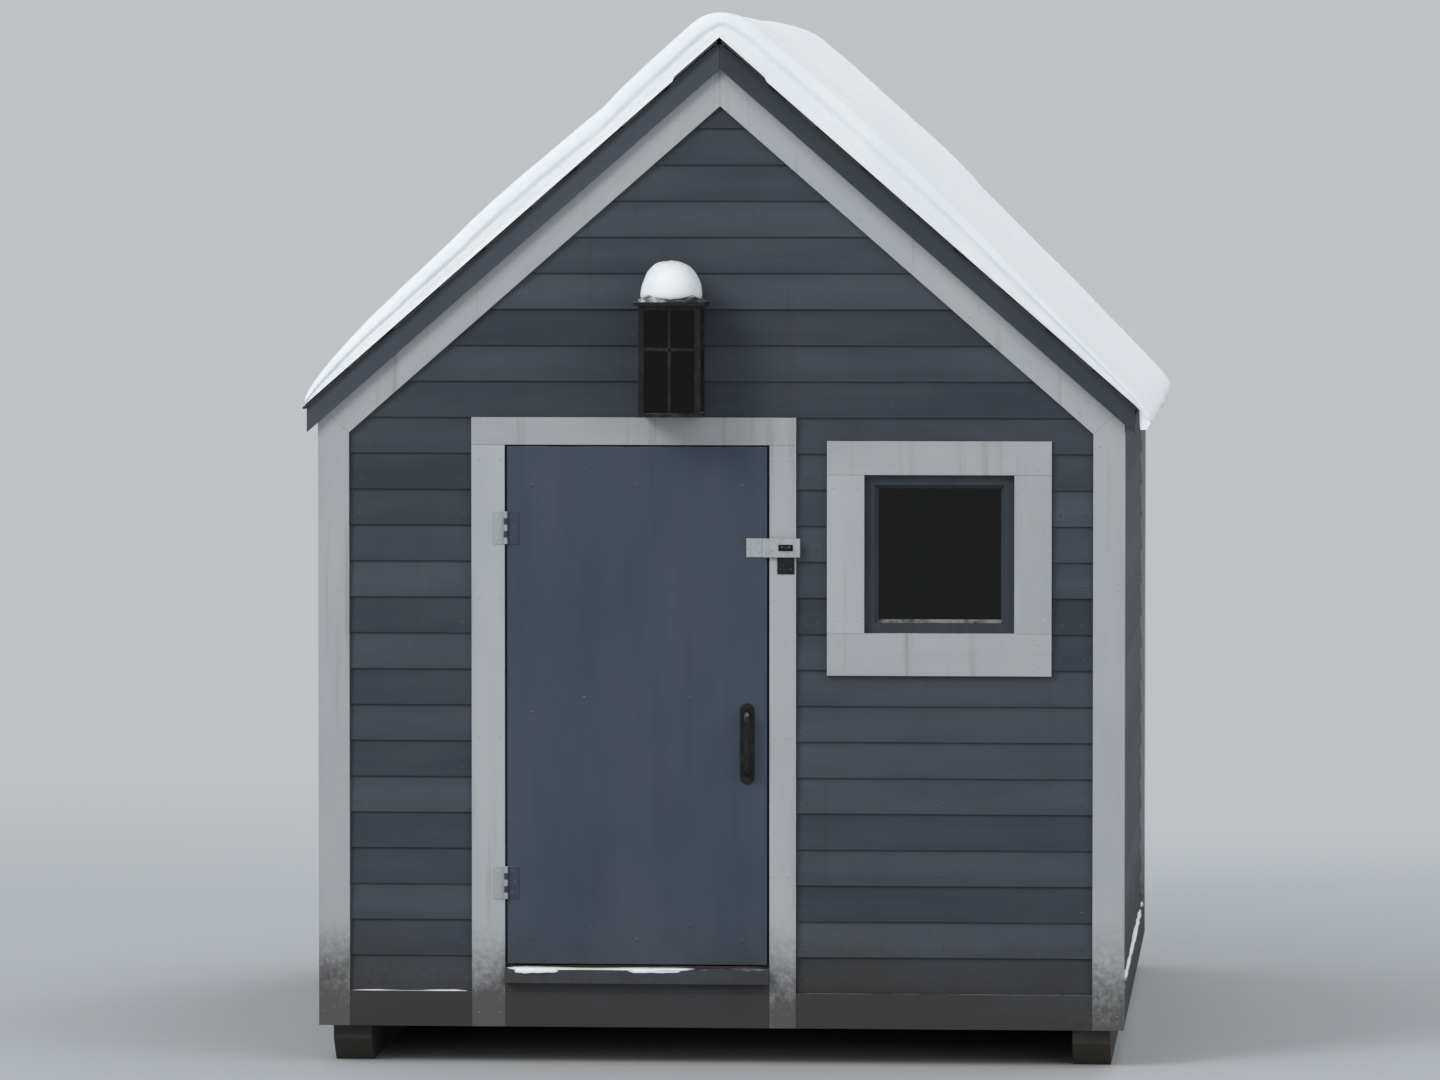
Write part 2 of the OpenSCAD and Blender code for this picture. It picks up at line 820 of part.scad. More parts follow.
module door_hasp() {
    half = hasp_h / 2;
    knuckle_x = leaf_x1 - hasp_r - 1;
    y1 = leaf_y0 - hasp_off;
    color(c_zinc) difference() {
        union() {
            slab([hasp_x0, leaf_y0 - plate_t, hasp_mid_z - half], [knuckle_x, leaf_y0, hasp_mid_z + half]);
            translate([knuckle_x, leaf_y0 - hasp_r, hasp_mid_z - half])
                cylinder(r = hasp_r, h = hasp_h, $fn = 48);
            slab([knuckle_x, y1 - hasp_t, hasp_mid_z - half],
                [hasp_x0 + hasp_l, y1, hasp_mid_z + half]);
        }
        slab([staple_x - staple_w / 2 - clear, y1 - 2 * hasp_t, hasp_mid_z - staple_wire / 2 - clear],
            [staple_x + staple_w / 2 + clear, y1 + hasp_t, hasp_mid_z + staple_wire / 2 + clear]);
    }
}

module hasp_staple() {
    inner = staple_w - 2 * staple_wire;
    color(c_iron) translate([staple_x, trim_fy, hasp_mid_z]) {
        slab([-staple_plate_w / 2, -plate_t, -staple_plate_foot], [staple_plate_w / 2, 0, staple_plate_top]);
        translate([0, 0, -staple_wire / 2]) linear_extrude(staple_wire) difference() {
            translate([-staple_w / 2, -staple_out]) square([staple_w, staple_out]);
            translate([-inner / 2, -staple_out + staple_wire]) square([inner, staple_out]);
        }
    }
}

// The lantern: a square frame under a hipped cap, held by two arms on a plate against the wall

lantern_y1 = wall_fy - lantern_back;
lantern_y = lantern_y1 - lantern_w / 2;
cap_z = lantern_z + lantern_h;

// A four-sided hipped roof w wide and h high, standing on z = 0
module hipped(w, h) {
    outline = [[-w / 2, 0], [w / 2, 0], [0, h]];
    intersection() {
        upright(-w / 2, w / 2) polygon(outline);
        across(-w / 2, w / 2) polygon(outline);
    }
}

module lantern() {
    half = lantern_w / 2;
    rim = lantern_rim;
    back = half + lantern_arm_d;
    color(c_iron) translate([lantern_x, lantern_y, lantern_z]) {
        slab([-lantern_plate_w / 2, back - lantern_plate_t, 0], [lantern_plate_w / 2, back, lantern_h]);
        for (z = [0, lantern_h - rim])
            slab([-lantern_arm_w / 2, half, z], [lantern_arm_w / 2, back - lantern_plate_t, z + rim]);
        slab([-half, -half, 0], [half, half, rim]);
        for (sx = [-1, 1], sy = [-1, 1])
            translate([sx * (half - lantern_post / 2), sy * (half - lantern_post / 2), rim])
                translate([-lantern_post / 2, -lantern_post / 2, 0])
                    cube([lantern_post, lantern_post, lantern_h - 2 * rim]);
        slab([-half, -half, lantern_h - rim], [half, half, lantern_h]);
        translate([0, 0, lantern_h])
            slab([-lantern_cap_w / 2, -lantern_cap_w / 2, 0], [lantern_cap_w / 2, lantern_cap_w / 2, rim]);
        translate([0, 0, lantern_h + rim]) hipped(lantern_cap_w, lantern_cap_h - rim);
    }
}

module lantern_glass() {
    r = lantern_w / 2 - lantern_post / 2;
    inner = r - lantern_glass_t;
    side = lantern_w / 2 - lantern_post;
    color(c_glass) translate([lantern_x, lantern_y, lantern_z + lantern_rim])
        for (a = [0:90:270]) rotate([0, 0, a])
            slab([-side, -r, 0], [side, -inner, lantern_h - 2 * lantern_rim]);
}

// The snow

snow_h1 = shingle_t + snow_t;
snow_h0 = shingle_t + snow_gap;
snow_foot = slope_at(shingle_u1 + snow_gap, snow_h0);
arc_steps = 12;

// The round over the ridge, from its top down to a slope that is h over the roof deck
function ridge_round(h, r) = [for (i = [0:arc_steps]) let (a = roof_pitch * i / arc_steps)
    [r * sin(a), roof_z(-h, 0) - (1 / cos_p - cos(a)) * r]];

// The top of the snow on the left, written as for a right slope, which thins out to nothing
snow_left = concat(
    ridge_round(snow_h1, snow_ridge_r),
    [for (i = [0:arc_steps]) let (a = 90 * i / arc_steps)
        slope_at(
            shingle_u1 + snow_over - snow_fall * (1 - sin(a)),
            snow_h0 + (snow_h1 - snow_h0) * cos(a)
        )]
);

// The top of the snow on the right, down to the lip, with the ridge's top as high as on the left
snow_deep = snow_h1 + snow_heap;
lip_u = shingle_u1 + snow_creep - snow_lip_r;
lip_top = snow_lip_r - snow_droop;
snow_right = concat(
    ridge_round(snow_deep, snow_ridge_r + snow_heap / (1 - cos_p)),
    [for (i = [0:arc_steps]) let (t = i / arc_steps)
        slope_at(snow_even + (lip_u - snow_even) * t, lip_top + (snow_deep - lip_top) * cos(90 * t))]
);

// The lip, which hangs round and down until it is back under the shingles' lower edge
lip = slope_at(lip_u, -snow_droop);
lip_a0 = 90 - roof_pitch;
lip_a1 = -90 - asin((lip[0] - snow_foot[0]) / snow_lip_r);
snow_lip = [for (i = [1:arc_steps]) let (a = lip_a0 + (lip_a1 - lip_a0) * i / arc_steps)
    lip + snow_lip_r * [cos(a), sin(a)]];

// The underside of the snow, from the shingles' lower edge up to the ridge
snow_under = [
    snow_foot,
    slope_at(cap_w + snow_gap, snow_h0),
    slope_at(cap_w + snow_gap, cap_h + snow_gap),
    [0, roof_z(-cap_h - snow_gap, 0)]
];

module roof_snow() {
    left = concat(snow_left, snow_under);
    color(c_snow) upright(roof_fy, roof_by) polygon(concat(
        snow_right, snow_lip, snow_under,
        [for (i = [len(left) - 2:-1:1]) mirrored(left[i])]
    ));
}

// How far the lantern's snow stays inside its cap
dome_edge = 7;
// How much the foot of the lantern's snow is drawn in, and the height of its steep side
dome_in = 4;
dome_side = 12;

// A rounded dome on the lantern's cap
module lantern_snow() {
    rim = lantern_rim;
    r = lantern_cap_w / 2 - dome_edge;
    rise = lantern_snow_h - rim - dome_side;
    base_z = cap_z + rim + snow_gap;
    color(c_snow) difference() {
        translate([lantern_x, lantern_y, base_z]) rotate_extrude($fn = 64) polygon(concat(
            [[0, 0], [r - dome_in, 0]],
            [for (a = [0:10:90]) [r * cos(a) ^ 0.8, dome_side + rise * sin(a)]]
        ));
        translate([lantern_x, lantern_y, base_z])
            hipped(lantern_cap_w + 2 * snow_gap, lantern_cap_h - rim + snow_gap);
    }
}

skids();
side_rims();
floor_joists();
floor_deck();
end_wall_plates();
side_wall_plates();
end_studs();
side_studs();
window_framing();
rafters();
ridge_board();
front_wall();
front_gable();
back_wall();
left_wall();
right_wall();
front_siding();
back_siding();
left_siding();
right_siding();
roof_deck();
shingles();
ridge_cap();
rake_trim();
rake_boards();
eave_fascias();
corner_boards();
skirt_boards();
door_casing();
door_stops();
door_sill();
window_casing();
window_sash();
window_glass();
door_hinges();
hasp_staple();
lantern();
lantern_glass();
door_panel();
door_ledges();
door_hinge_leaves();
door_pull();
door_hasp();
roof_snow();
lantern_snow();
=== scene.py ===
"""The finish of an ice fishing hut: lapped boards, painted trim, bare framing, shingles,
settled snow, a glazed sash, door hardware and a wall lantern, set on a plain pale stage.

All sizes are metres, in the hut's own frame: X to the right seen from the front, the front
faces -Y, Z up from the ground.
"""

import json
import math
import random

import bmesh
import bpy
from bpy.props import FloatProperty, FloatVectorProperty, IntProperty, PointerProperty
from mathutils import Matrix, Vector, noise


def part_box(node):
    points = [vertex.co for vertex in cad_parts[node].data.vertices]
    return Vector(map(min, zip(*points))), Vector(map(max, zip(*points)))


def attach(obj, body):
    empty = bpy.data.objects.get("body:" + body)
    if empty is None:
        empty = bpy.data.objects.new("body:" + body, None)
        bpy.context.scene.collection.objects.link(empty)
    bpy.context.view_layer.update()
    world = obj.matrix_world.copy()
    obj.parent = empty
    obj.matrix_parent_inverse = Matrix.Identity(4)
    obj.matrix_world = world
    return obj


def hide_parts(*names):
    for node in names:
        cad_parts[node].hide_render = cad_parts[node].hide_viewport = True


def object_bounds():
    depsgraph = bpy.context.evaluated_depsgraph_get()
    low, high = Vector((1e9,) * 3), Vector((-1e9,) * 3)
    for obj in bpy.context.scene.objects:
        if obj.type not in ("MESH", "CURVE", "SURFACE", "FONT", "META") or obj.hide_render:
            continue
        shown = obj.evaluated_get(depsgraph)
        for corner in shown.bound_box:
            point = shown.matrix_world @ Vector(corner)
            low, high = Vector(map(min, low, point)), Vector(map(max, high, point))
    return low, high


bl_info = {
    "name": "Ice Fishing Hut",
    "version": (1, 0, 0),
    "blender": (4, 5, 0),
    "location": "3D View > Sidebar > Hut",
    "description": "Finishes a small timber hut with boards, paint, shingles, snow and a lantern",
    "category": "Object",
}

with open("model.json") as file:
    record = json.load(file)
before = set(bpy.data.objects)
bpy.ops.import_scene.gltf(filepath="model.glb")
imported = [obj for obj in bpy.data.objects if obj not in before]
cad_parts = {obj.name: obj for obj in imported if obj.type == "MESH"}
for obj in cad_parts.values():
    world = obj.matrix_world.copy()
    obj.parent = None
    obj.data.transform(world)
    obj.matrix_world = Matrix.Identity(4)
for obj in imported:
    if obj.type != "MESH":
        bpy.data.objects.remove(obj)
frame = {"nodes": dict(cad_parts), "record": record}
CAD_LOW, CAD_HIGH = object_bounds()
RECORD = frame["record"]
BODY_OF = {n: b for b, names in RECORD["behaviour"]["bodies"].items() for n in names}
SLOT_OF = {s["node"]: s["material_slot"] for s in RECORD["subparts"]}

# Places that the frame gives
MID_Y = (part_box("floor_deck")[0].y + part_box("floor_deck")[1].y) / 2
WALL_FRONT_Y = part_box("front_wall")[0].y
WALL_BACK_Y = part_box("back_wall")[1].y
WALL_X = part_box("right_wall")[1].x
FRAME_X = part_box("right_wall")[0].x
TRIM_FRONT_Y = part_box("corner_boards")[0].y
TRIM_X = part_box("corner_boards")[1].x
SKIRT_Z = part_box("skirt_boards")[1].z
HEAD_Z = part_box("door_casing")[1].z
LAP_T = WALL_FRONT_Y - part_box("front_siding")[0].y

# The roof: the pitch comes from two heights of the wall tops
TAN = (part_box("front_gable")[1].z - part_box("right_wall")[1].z) / FRAME_X
COS = 1 / math.sqrt(1 + TAN * TAN)
SIN = TAN * COS
DECK_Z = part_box("roof_deck")[1].z
UNDER_RAKE = (DECK_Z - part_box("front_siding")[1].z) * COS

# Colours that are fixed, apart from the paints and woods in the settings
# The next two colours give the streaks down the walls and the darkening towards the ground, on dark and
# on light paint
DARK_STREAK_AND_FOOT = (0.052, 0.047, 0.043, 1)
PALE_STREAK_AND_FOOT = (0.078, 0.074, 0.068, 1)
WET_WOOD = (0.03, 0.028, 0.025, 1)
KNOT = (0.07, 0.035, 0.015, 1)
KNOT_HALO = (0.30, 0.15, 0.06, 1)
PLY_DARK = (0.075, 0.062, 0.050, 1)
PLY_LIGHT = (0.15, 0.13, 0.105, 1)
RUBBED_BLACK = (0.030, 0.029, 0.028, 1)
DARK_SPANGLE = (0.36, 0.38, 0.40, 1)
ZINC_BLOOM = (0.50, 0.50, 0.49, 1)
FROST = (0.80, 0.83, 0.87, 1)
WARM_SNOW = (0.88, 0.895, 0.91, 1)
SNOW_CRUST = (0.72, 0.77, 0.84, 1)
SKY_LIGHT = (0.95, 0.98, 1.0, 1)

# Directions in the hut's frame
RIGHT = Vector((1, 0, 0))
FRONT = Vector((0, -1, 0))
BACK = Vector((0, 1, 0))
UP = Vector((0, 0, 1))

# How close points are joined, how flat neighbours are merged, and where edges stay crisp
WELD = 1e-5
FLAT = math.radians(1)
SHARP = math.radians(28)
SNOW_SHARP = math.radians(80)


class HutColours(bpy.types.PropertyGroup):
    """Colours of the hut's finishes"""

    siding: FloatVectorProperty(
        name="Siding paint", description="Paint on the lapped boards and the dark trim",
        subtype="COLOR", default=(0.054, 0.065, 0.080), min=0, max=1)
    door: FloatVectorProperty(
        name="Door paint", description="Paint on the door leaf",
        subtype="COLOR", default=(0.057, 0.072, 0.099), min=0, max=1)
    trim: FloatVectorProperty(
        name="Trim paint", description="Paint on the light trim boards",
        subtype="COLOR", default=(0.42, 0.435, 0.45), min=0, max=1)
    bare: FloatVectorProperty(
        name="Bare wood", description="Weathered wood where paint has gone",
        subtype="COLOR", default=(0.20, 0.185, 0.165), min=0, max=1)
    timber: FloatVectorProperty(
        name="Framing timber", description="Sawn framing timber inside",
        subtype="COLOR", default=(0.52, 0.36, 0.20), min=0, max=1)
    plywood: FloatVectorProperty(
        name="Plywood", description="Sheathing, floor and roof deck",
        subtype="COLOR", default=(0.50, 0.36, 0.21), min=0, max=1)
    skid: FloatVectorProperty(
        name="Skids", description="Damp weathered timber of the skids",
        subtype="COLOR", default=(0.085, 0.075, 0.062), min=0, max=1)
    iron: FloatVectorProperty(
        name="Black metal", description="Lantern frame and door pull",
        subtype="COLOR", default=(0.010, 0.010, 0.011), min=0, max=1)
    zinc: FloatVectorProperty(
        name="Galvanised steel", description="Hasp, staple and screws",
        subtype="COLOR", default=(0.58, 0.60, 0.62), min=0, max=1)
    roofing: FloatVectorProperty(
        name="Shingles", description="Mineral surface of the shingles",
        subtype="COLOR", default=(0.035, 0.035, 0.038), min=0, max=1)
    snow: FloatVectorProperty(
        name="Snow", description="Settled snow",
        subtype="COLOR", default=(0.84, 0.87, 0.91), min=0, max=1)


class HutBoards(bpy.types.PropertyGroup):
    """Sizes of the boards, their edges and their fixings"""

    rows_beside_door: IntProperty(
        name="Rows beside the door", description="Rows of lapped board from the skirt to the door's head",
        default=16, min=8, max=24)
    lap: FloatProperty(
        name="Lap", description="Length of board hidden under the next row",
        default=0.020, min=0.01, max=0.04, unit="LENGTH")
    tip: FloatProperty(
        name="Board face at the lap",
        description="How far a board stands out where the next row covers it",
        default=0.005, min=0.003, max=0.007, unit="LENGTH")
    feather: FloatProperty(
        name="Feather edge", description="Thickness of a lapped board at its hidden edge",
        default=0.003, min=0.002, max=0.005, unit="LENGTH")
    wander: FloatProperty(
        name="Wander", description="How far a board's lower edge strays from straight",
        default=0.0009, min=0, max=0.003, unit="LENGTH")
    arris: FloatProperty(
        name="Arris", description="Rounding of the edges of sawn and painted boards",
        default=0.0014, min=0.0005, max=0.004, unit="LENGTH")
    nail: FloatProperty(
        name="Nail head", description="Radius of a nail head",
        default=0.0036, min=0.002, max=0.006, unit="LENGTH")


class HutSnow(bpy.types.PropertyGroup):
    """Shape of the settled snow"""

    roll: FloatProperty(
        name="Gable roll", description="Rounding of the snow over the gable ends",
        default=0.034, min=0.01, max=0.06, unit="LENGTH")
    swell: FloatProperty(
        name="Swell", description="Height of the long waves on the snow",
        default=0.014, min=0, max=0.03, unit="LENGTH")
    ledge: FloatProperty(
        name="Ledge snow", description="Height of the thin snow on the skirt boards",
        default=0.013, min=0.004, max=0.03, unit="LENGTH")


class HutStage(bpy.types.PropertyGroup):
    """Camera, light and ground"""

    azimuth: FloatProperty(
        name="Camera azimuth", description="Turn of the camera round the hut, to the right",
        default=math.radians(3.98), unit="ROTATION")
    distance: FloatProperty(
        name="Camera distance", description="Distance of the camera from the front wall",
        default=20.0, min=4, unit="LENGTH")
    height: FloatProperty(
        name="Camera height", description="Height of the camera over the ground",
        default=2.2, min=0.2, unit="LENGTH")
    lens: FloatProperty(
        name="Lens", description="Focal length in millimetres",
        default=214, min=30)
    sky: FloatProperty(
        name="Sky light", description="Strength of the even light from all sides",
        default=0.66, min=0)
    ground: FloatVectorProperty(
        name="Ground", description="Colour of the floor and the background",
        subtype="COLOR", default=(0.52, 0.54, 0.56), min=0, max=1)


# Shader helpers

def set_inputs(tree, node, values):
    """Sets each given input of a node, or links it where the value is a socket."""
    for key, value in values.items():
        if isinstance(value, bpy.types.NodeSocket):
            tree.links.new(value, node.inputs[key])
        else:
            node.inputs[key].default_value = value


def add_node(tree, kind, values=None, **settings):
    """A new shader node with its settings, and its inputs set or linked."""
    made = tree.nodes.new(kind)
    for name, value in settings.items():
        setattr(made, name, value)
    set_inputs(tree, made, values or {})
    return made


def maths(tree, operation, a, b=0.0, clamp=False):
    """The result of one Math node."""
    return add_node(tree, "ShaderNodeMath", {0: a, 1: b}, operation=operation, use_clamp=clamp).outputs[0]


def astray(tree, value, gain):
    """A value between 0 and 1, turned into one that strays to both sides of zero by a gain."""
    return maths(tree, "MULTIPLY", maths(tree, "SUBTRACT", value, 0.5), gain)


def weighed(tree, a, share_a, b, share_b):
    """The sum of two values, each with its own share."""
    return maths(tree, "ADD", maths(tree, "MULTIPLY", a, share_a), maths(tree, "MULTIPLY", b, share_b))


def more(tree, value, extra, gain, clamp=False):
    """A value with an extra one added by a gain."""
    return maths(tree, "ADD", value, maths(tree, "MULTIPLY", extra, gain), clamp)


def less(tree, value, extra, gain):
    """A value with an extra one taken away by a gain."""
    return maths(tree, "SUBTRACT", value, maths(tree, "MULTIPLY", extra, gain))


def vector_maths(tree, operation, a, b):
    """The vector result of one Vector Math node."""
    return add_node(tree, "ShaderNodeVectorMath", {0: a, 1: b}, operation=operation).outputs[0]


def axes(tree, vector):
    """The three values of a vector."""
    return add_node(tree, "ShaderNodeSeparateXYZ", {0: vector}).outputs


def blend(tree, share, a, b):
    """Two colours or values mixed by a share."""
    return add_node(tree, "ShaderNodeMix", {0: share, 6: a, 7: b}, data_type="RGBA").outputs[2]


def shaded(tree, colour, value, saturation=1.0):
    """A colour made lighter or darker, and more or less strong."""
    return add_node(
        tree, "ShaderNodeHueSaturation",
        {"Hue": 0.5, "Saturation": saturation, "Value": value, "Fac": 1.0, "Color": colour}).outputs[0]


def spread(tree, value, low, high, out_low=0.0, out_high=1.0):
    """A value mapped smoothly from one range to another, and held inside it."""
    made = add_node(
        tree, "ShaderNodeMapRange",
        {"Value": value, "From Min": low, "From Max": high, "To Min": out_low, "To Max": out_high},
        interpolation_type="SMOOTHSTEP")
    return made.outputs[0]


def mottle(tree, vector, scale, detail=3.0, roughness=0.5):
    """A noise value at a scale."""
    made = add_node(
        tree, "ShaderNodeTexNoise",
        {"Vector": vector, "Scale": scale, "Detail": detail, "Roughness": roughness})
    return made.outputs[0]


def drawn_mottle(tree, vector, pull, detail=3.0, roughness=0.5):
    """A noise value with its own scale along each axis."""
    return mottle(tree, vector_maths(tree, "MULTIPLY", vector, pull), 1.0, detail, roughness)


def new_group(name, inputs, outputs):
    """An empty shader node group: its tree, its given values and its results."""
    tree = bpy.data.node_groups.new(name, "ShaderNodeTree")
    for label, (kind, value) in inputs.items():
        socket = tree.interface.new_socket(label, in_out="INPUT", socket_type="NodeSocket" + kind)
        if value is not None:
            socket.default_value = value
    for label, kind in outputs.items():
        tree.interface.new_socket(label, in_out="OUTPUT", socket_type="NodeSocket" + kind)
    given = tree.nodes.new("NodeGroupInput").outputs
    results = tree.nodes.new("NodeGroupOutput").inputs
    return tree, given, results


def paint_film_group():
    """Paint on wood: tint from board to board, fading, fibres that telegraph, and bare patches."""
    tree, given, results = new_group(
        "Paint Film",
        {
            "Grain": ("Vector", None),
            "Tint": ("Float", 0.5),
            "Paint": ("Color", (0.1, 0.1, 0.1, 1)),
            "Bare": ("Color", (0.2, 0.2, 0.2, 1)),
            "Wear": ("Float", 0.3),
            "Variation": ("Float", 0.3),
            "Roughness": ("Float", 0.5),
        },
        {"Color": "Color", "Roughness": "Float", "Height": "Float"})
    fibre = drawn_mottle(tree, given["Grain"], (6, 230, 230), 6.0, 0.62)
    figure = drawn_mottle(tree, given["Grain"], (1.6, 26, 26))
    cloud = drawn_mottle(tree, given["Grain"], (2.1, 5.5, 5.5), 4.0, 0.6)
    shade = maths(tree, "SUBTRACT", given["Tint"], 0.5)
    shade = maths(tree, "ADD", shade, astray(tree, cloud, 1.6))
    shade = maths(tree, "ADD", shade, astray(tree, figure, 0.7))
    value = more(tree, 1.0, shade, given["Variation"])
    coat = shaded(tree, given["Paint"], value, spread(tree, cloud, 0.3, 0.7, 1.08, 0.86))
    rub = weighed(tree, fibre, 0.55, cloud, 0.45)
    edge = less(tree, 0.74, given["Wear"], 0.16)
    worn = spread(tree, maths(tree, "SUBTRACT", rub, edge), 0.0, 0.045)
    tree.links.new(blend(tree, worn, coat, given["Bare"]), results["Color"])
    rough = more(tree, given["Roughness"], worn, 0.25)
    tree.links.new(maths(tree, "ADD", rough, astray(tree, cloud, 0.25)), results["Roughness"])
    height = weighed(tree, fibre, 0.5, figure, 0.5)
    tree.links.new(less(tree, height, worn, 0.35), results["Height"])
    return tree


def sawn_wood_group():
    """Bare softwood: growth rings drawn out along the board, fibres, knots and a tint for each board."""
    tree, given, results = new_group(
        "Sawn Wood",
        {
            "Grain": ("Vector", None),
            "Tint": ("Float", 0.5),
            "Wood": ("Color", (0.5, 0.35, 0.2, 1)),
            "Ring Width": ("Float", 0.007),
            "Knots": ("Float", 1.0),
            "Variation": ("Float", 0.3),
        },
        {"Color": "Color", "Roughness": "Float", "Height": "Float"})
    drawn = vector_maths(tree, "MULTIPLY", given["Grain"], (0.10, 1.0, 1.0))
    bend = add_node(
        tree, "ShaderNodeTexNoise", {"Vector": drawn, "Scale": 9.0, "Detail": 2.0}).outputs["Color"]
    bent = vector_maths(tree, "ADD", drawn, vector_maths(tree, "MULTIPLY", bend, (0.05, 0.05, 0.05)))
    across, through = axes(tree, bent)[1:]
    radius = more(tree, across, through, 0.6)
    turn = maths(tree, "MULTIPLY", maths(tree, "DIVIDE", radius, given["Ring Width"]), 2 * math.pi)
    ring = spread(tree, maths(tree, "SINE", turn), -0.6, 1.0)
    fibre = drawn_mottle(tree, given["Grain"], (8, 330, 330), 5.0, 0.6)
    cloud = drawn_mottle(tree, given["Grain"], (1.3, 7, 7))
    cell_place = vector_maths(tree, "MULTIPLY", given["Grain"], (2.1, 5.2, 5.2))
    cell = add_node(tree, "ShaderNodeTexVoronoi", {"Vector": cell_place, "Scale": 1.0}).outputs[0]
    knot = maths(tree, "MULTIPLY", spread(tree, cell, 0.105, 0.05), given["Knots"])
    halo = maths(tree, "MULTIPLY", spread(tree, cell, 0.22, 0.08), given["Knots"])
    shade = maths(tree, "SUBTRACT", maths(tree, "ADD", given["Tint"], cloud), 1.0)
    value = more(tree, 1.0, shade, given["Variation"])
    value = less(tree, value, ring, 0.22)
    value = maths(tree, "SUBTRACT", value, astray(tree, fibre, 0.25))
    plain = shaded(tree, given["Wood"], value, spread(tree, ring, 0.0, 1.0, 0.92, 1.12))
    warm = blend(tree, maths(tree, "MULTIPLY", halo, 0.45), plain, KNOT_HALO)
    tree.links.new(blend(tree, knot, warm, KNOT), results["Color"])
    tree.links.new(spread(tree, fibre, 0.2, 0.8, 0.62, 0.8), results["Roughness"])
    height = weighed(tree, fibre, 0.6, ring, 0.25)
    tree.links.new(more(tree, height, knot, 0.3), results["Height"])
    return tree


def weather_group():
    """Darker towards the ground, and streaks that run down a wall."""
    tree, given, results = new_group(
        "Weather",
        {
            "Place": ("Vector", None),
            "Color": ("Color", (0.1, 0.1, 0.1, 1)),
            "Darker Color": ("Color", (0.14, 0.135, 0.125, 1)),
            "Darkening Height": ("Float", 0.45),
            "Amount": ("Float", 0.5),
        },
        {"Color": "Color", "Mask": "Float"})
    height = axes(tree, given["Place"])[2]
    patch = mottle(tree, given["Place"], 5.0, 5.0, 0.62)
    speck = mottle(tree, given["Place"], 70.0, 4.0, 0.65)
    streak = drawn_mottle(tree, given["Place"], (34, 34, 1.5), 4.0, 0.55)
    # The boards grow darker towards the ground, below the given height, with a ragged edge
    low = maths(tree, "SUBTRACT", 1.0, maths(tree, "DIVIDE", height, given["Darkening Height"]), clamp=True)
    ragged = astray(tree, blend(tree, 0.38, patch, speck), 2.4)
    low = spread(tree, more(tree, low, ragged, low), 0.20, 0.76)
    run = maths(tree, "MULTIPLY", spread(tree, streak, 0.56, 0.80), 0.42)
    mask = maths(tree, "MULTIPLY", maths(tree, "MAXIMUM", low, run), given["Amount"], clamp=True)
    tree.links.new(blend(tree, mask, given["Color"], given["Darker Color"]), results["Color"])
    tree.links.new(mask, results["Mask"])
    return tree


def frost_group():
    """A dusting of snow on faces that look up."""
    tree, given, results = new_group(
        "Frost",
        {
            "Place": ("Vector", None),
            "Color": ("Color", (0.1, 0.1, 0.1, 1)),
            "Amount": ("Float", 1.0),
        },
        {"Color": "Color", "Mask": "Float"})
    facing = add_node(tree, "ShaderNodeNewGeometry").outputs["Normal"]
    grain = mottle(tree, given["Place"], 60.0, 4.0, 0.6)
    patch = mottle(tree, given["Place"], 7.0)
    cover = weighed(tree, grain, 0.4, patch, 0.6)
    upward = spread(tree, axes(tree, facing)[2], 0.45, 0.9)
    lying = maths(tree, "MULTIPLY", upward, spread(tree, cover, 0.40, 0.56))
    mask = maths(tree, "MULTIPLY", lying, given["Amount"], clamp=True)
    tree.links.new(blend(tree, mask, given["Color"], FROST), results["Color"])
    tree.links.new(mask, results["Mask"])
    return tree


GROUPS = {}


def place_group(tree, builder, values):
    """The group that a builder makes, made once and placed in a material with its own values."""
    if builder not in GROUPS:
        GROUPS[builder] = builder()
    made = tree.nodes.new("ShaderNodeGroup")
    made.node_tree = GROUPS[builder]
    set_inputs(tree, made, values)
    return made.outputs


def rgba(colour):
    """A colour with full alpha."""
    return (*colour, 1.0)


def new_material(name):
    """A material with only a Principled shader, then its tree and the shader's inputs."""
    made = bpy.data.materials.new(name)
    made.use_nodes = True
    tree = made.node_tree
    tree.nodes.clear()
    shader = tree.nodes.new("ShaderNodeBsdfPrincipled")
    out = tree.nodes.new("ShaderNodeOutputMaterial")
    tree.links.new(shader.outputs[0], out.inputs["Surface"])
    return made, tree, shader.inputs


def bump(tree, height, depth, shader):
    """Relief from a height, as deep as given in metres."""
    made = add_node(tree, "ShaderNodeBump", {"Height": height, "Distance": depth, "Strength": 1.0})
    tree.links.new(made.outputs[0], shader["Normal"])


def own(tree, name):
    """A value that the piece's own points carry."""
    return add_node(tree, "ShaderNodeAttribute", attribute_name=name).outputs


def object_place(tree):
    """The place on the piece, in the hut's frame at rest."""
    return add_node(tree, "ShaderNodeTexCoord").outputs["Object"]


def crystals(tree, scale):
    """Random cells: the tone of each, and the distance from its middle."""
    cells = add_node(tree, "ShaderNodeTexVoronoi", {"Vector": object_place(tree), "Scale": scale}).outputs
    return add_node(tree, "ShaderNodeSeparateColor", {0: cells["Color"]}).outputs[0], cells["Distance"]


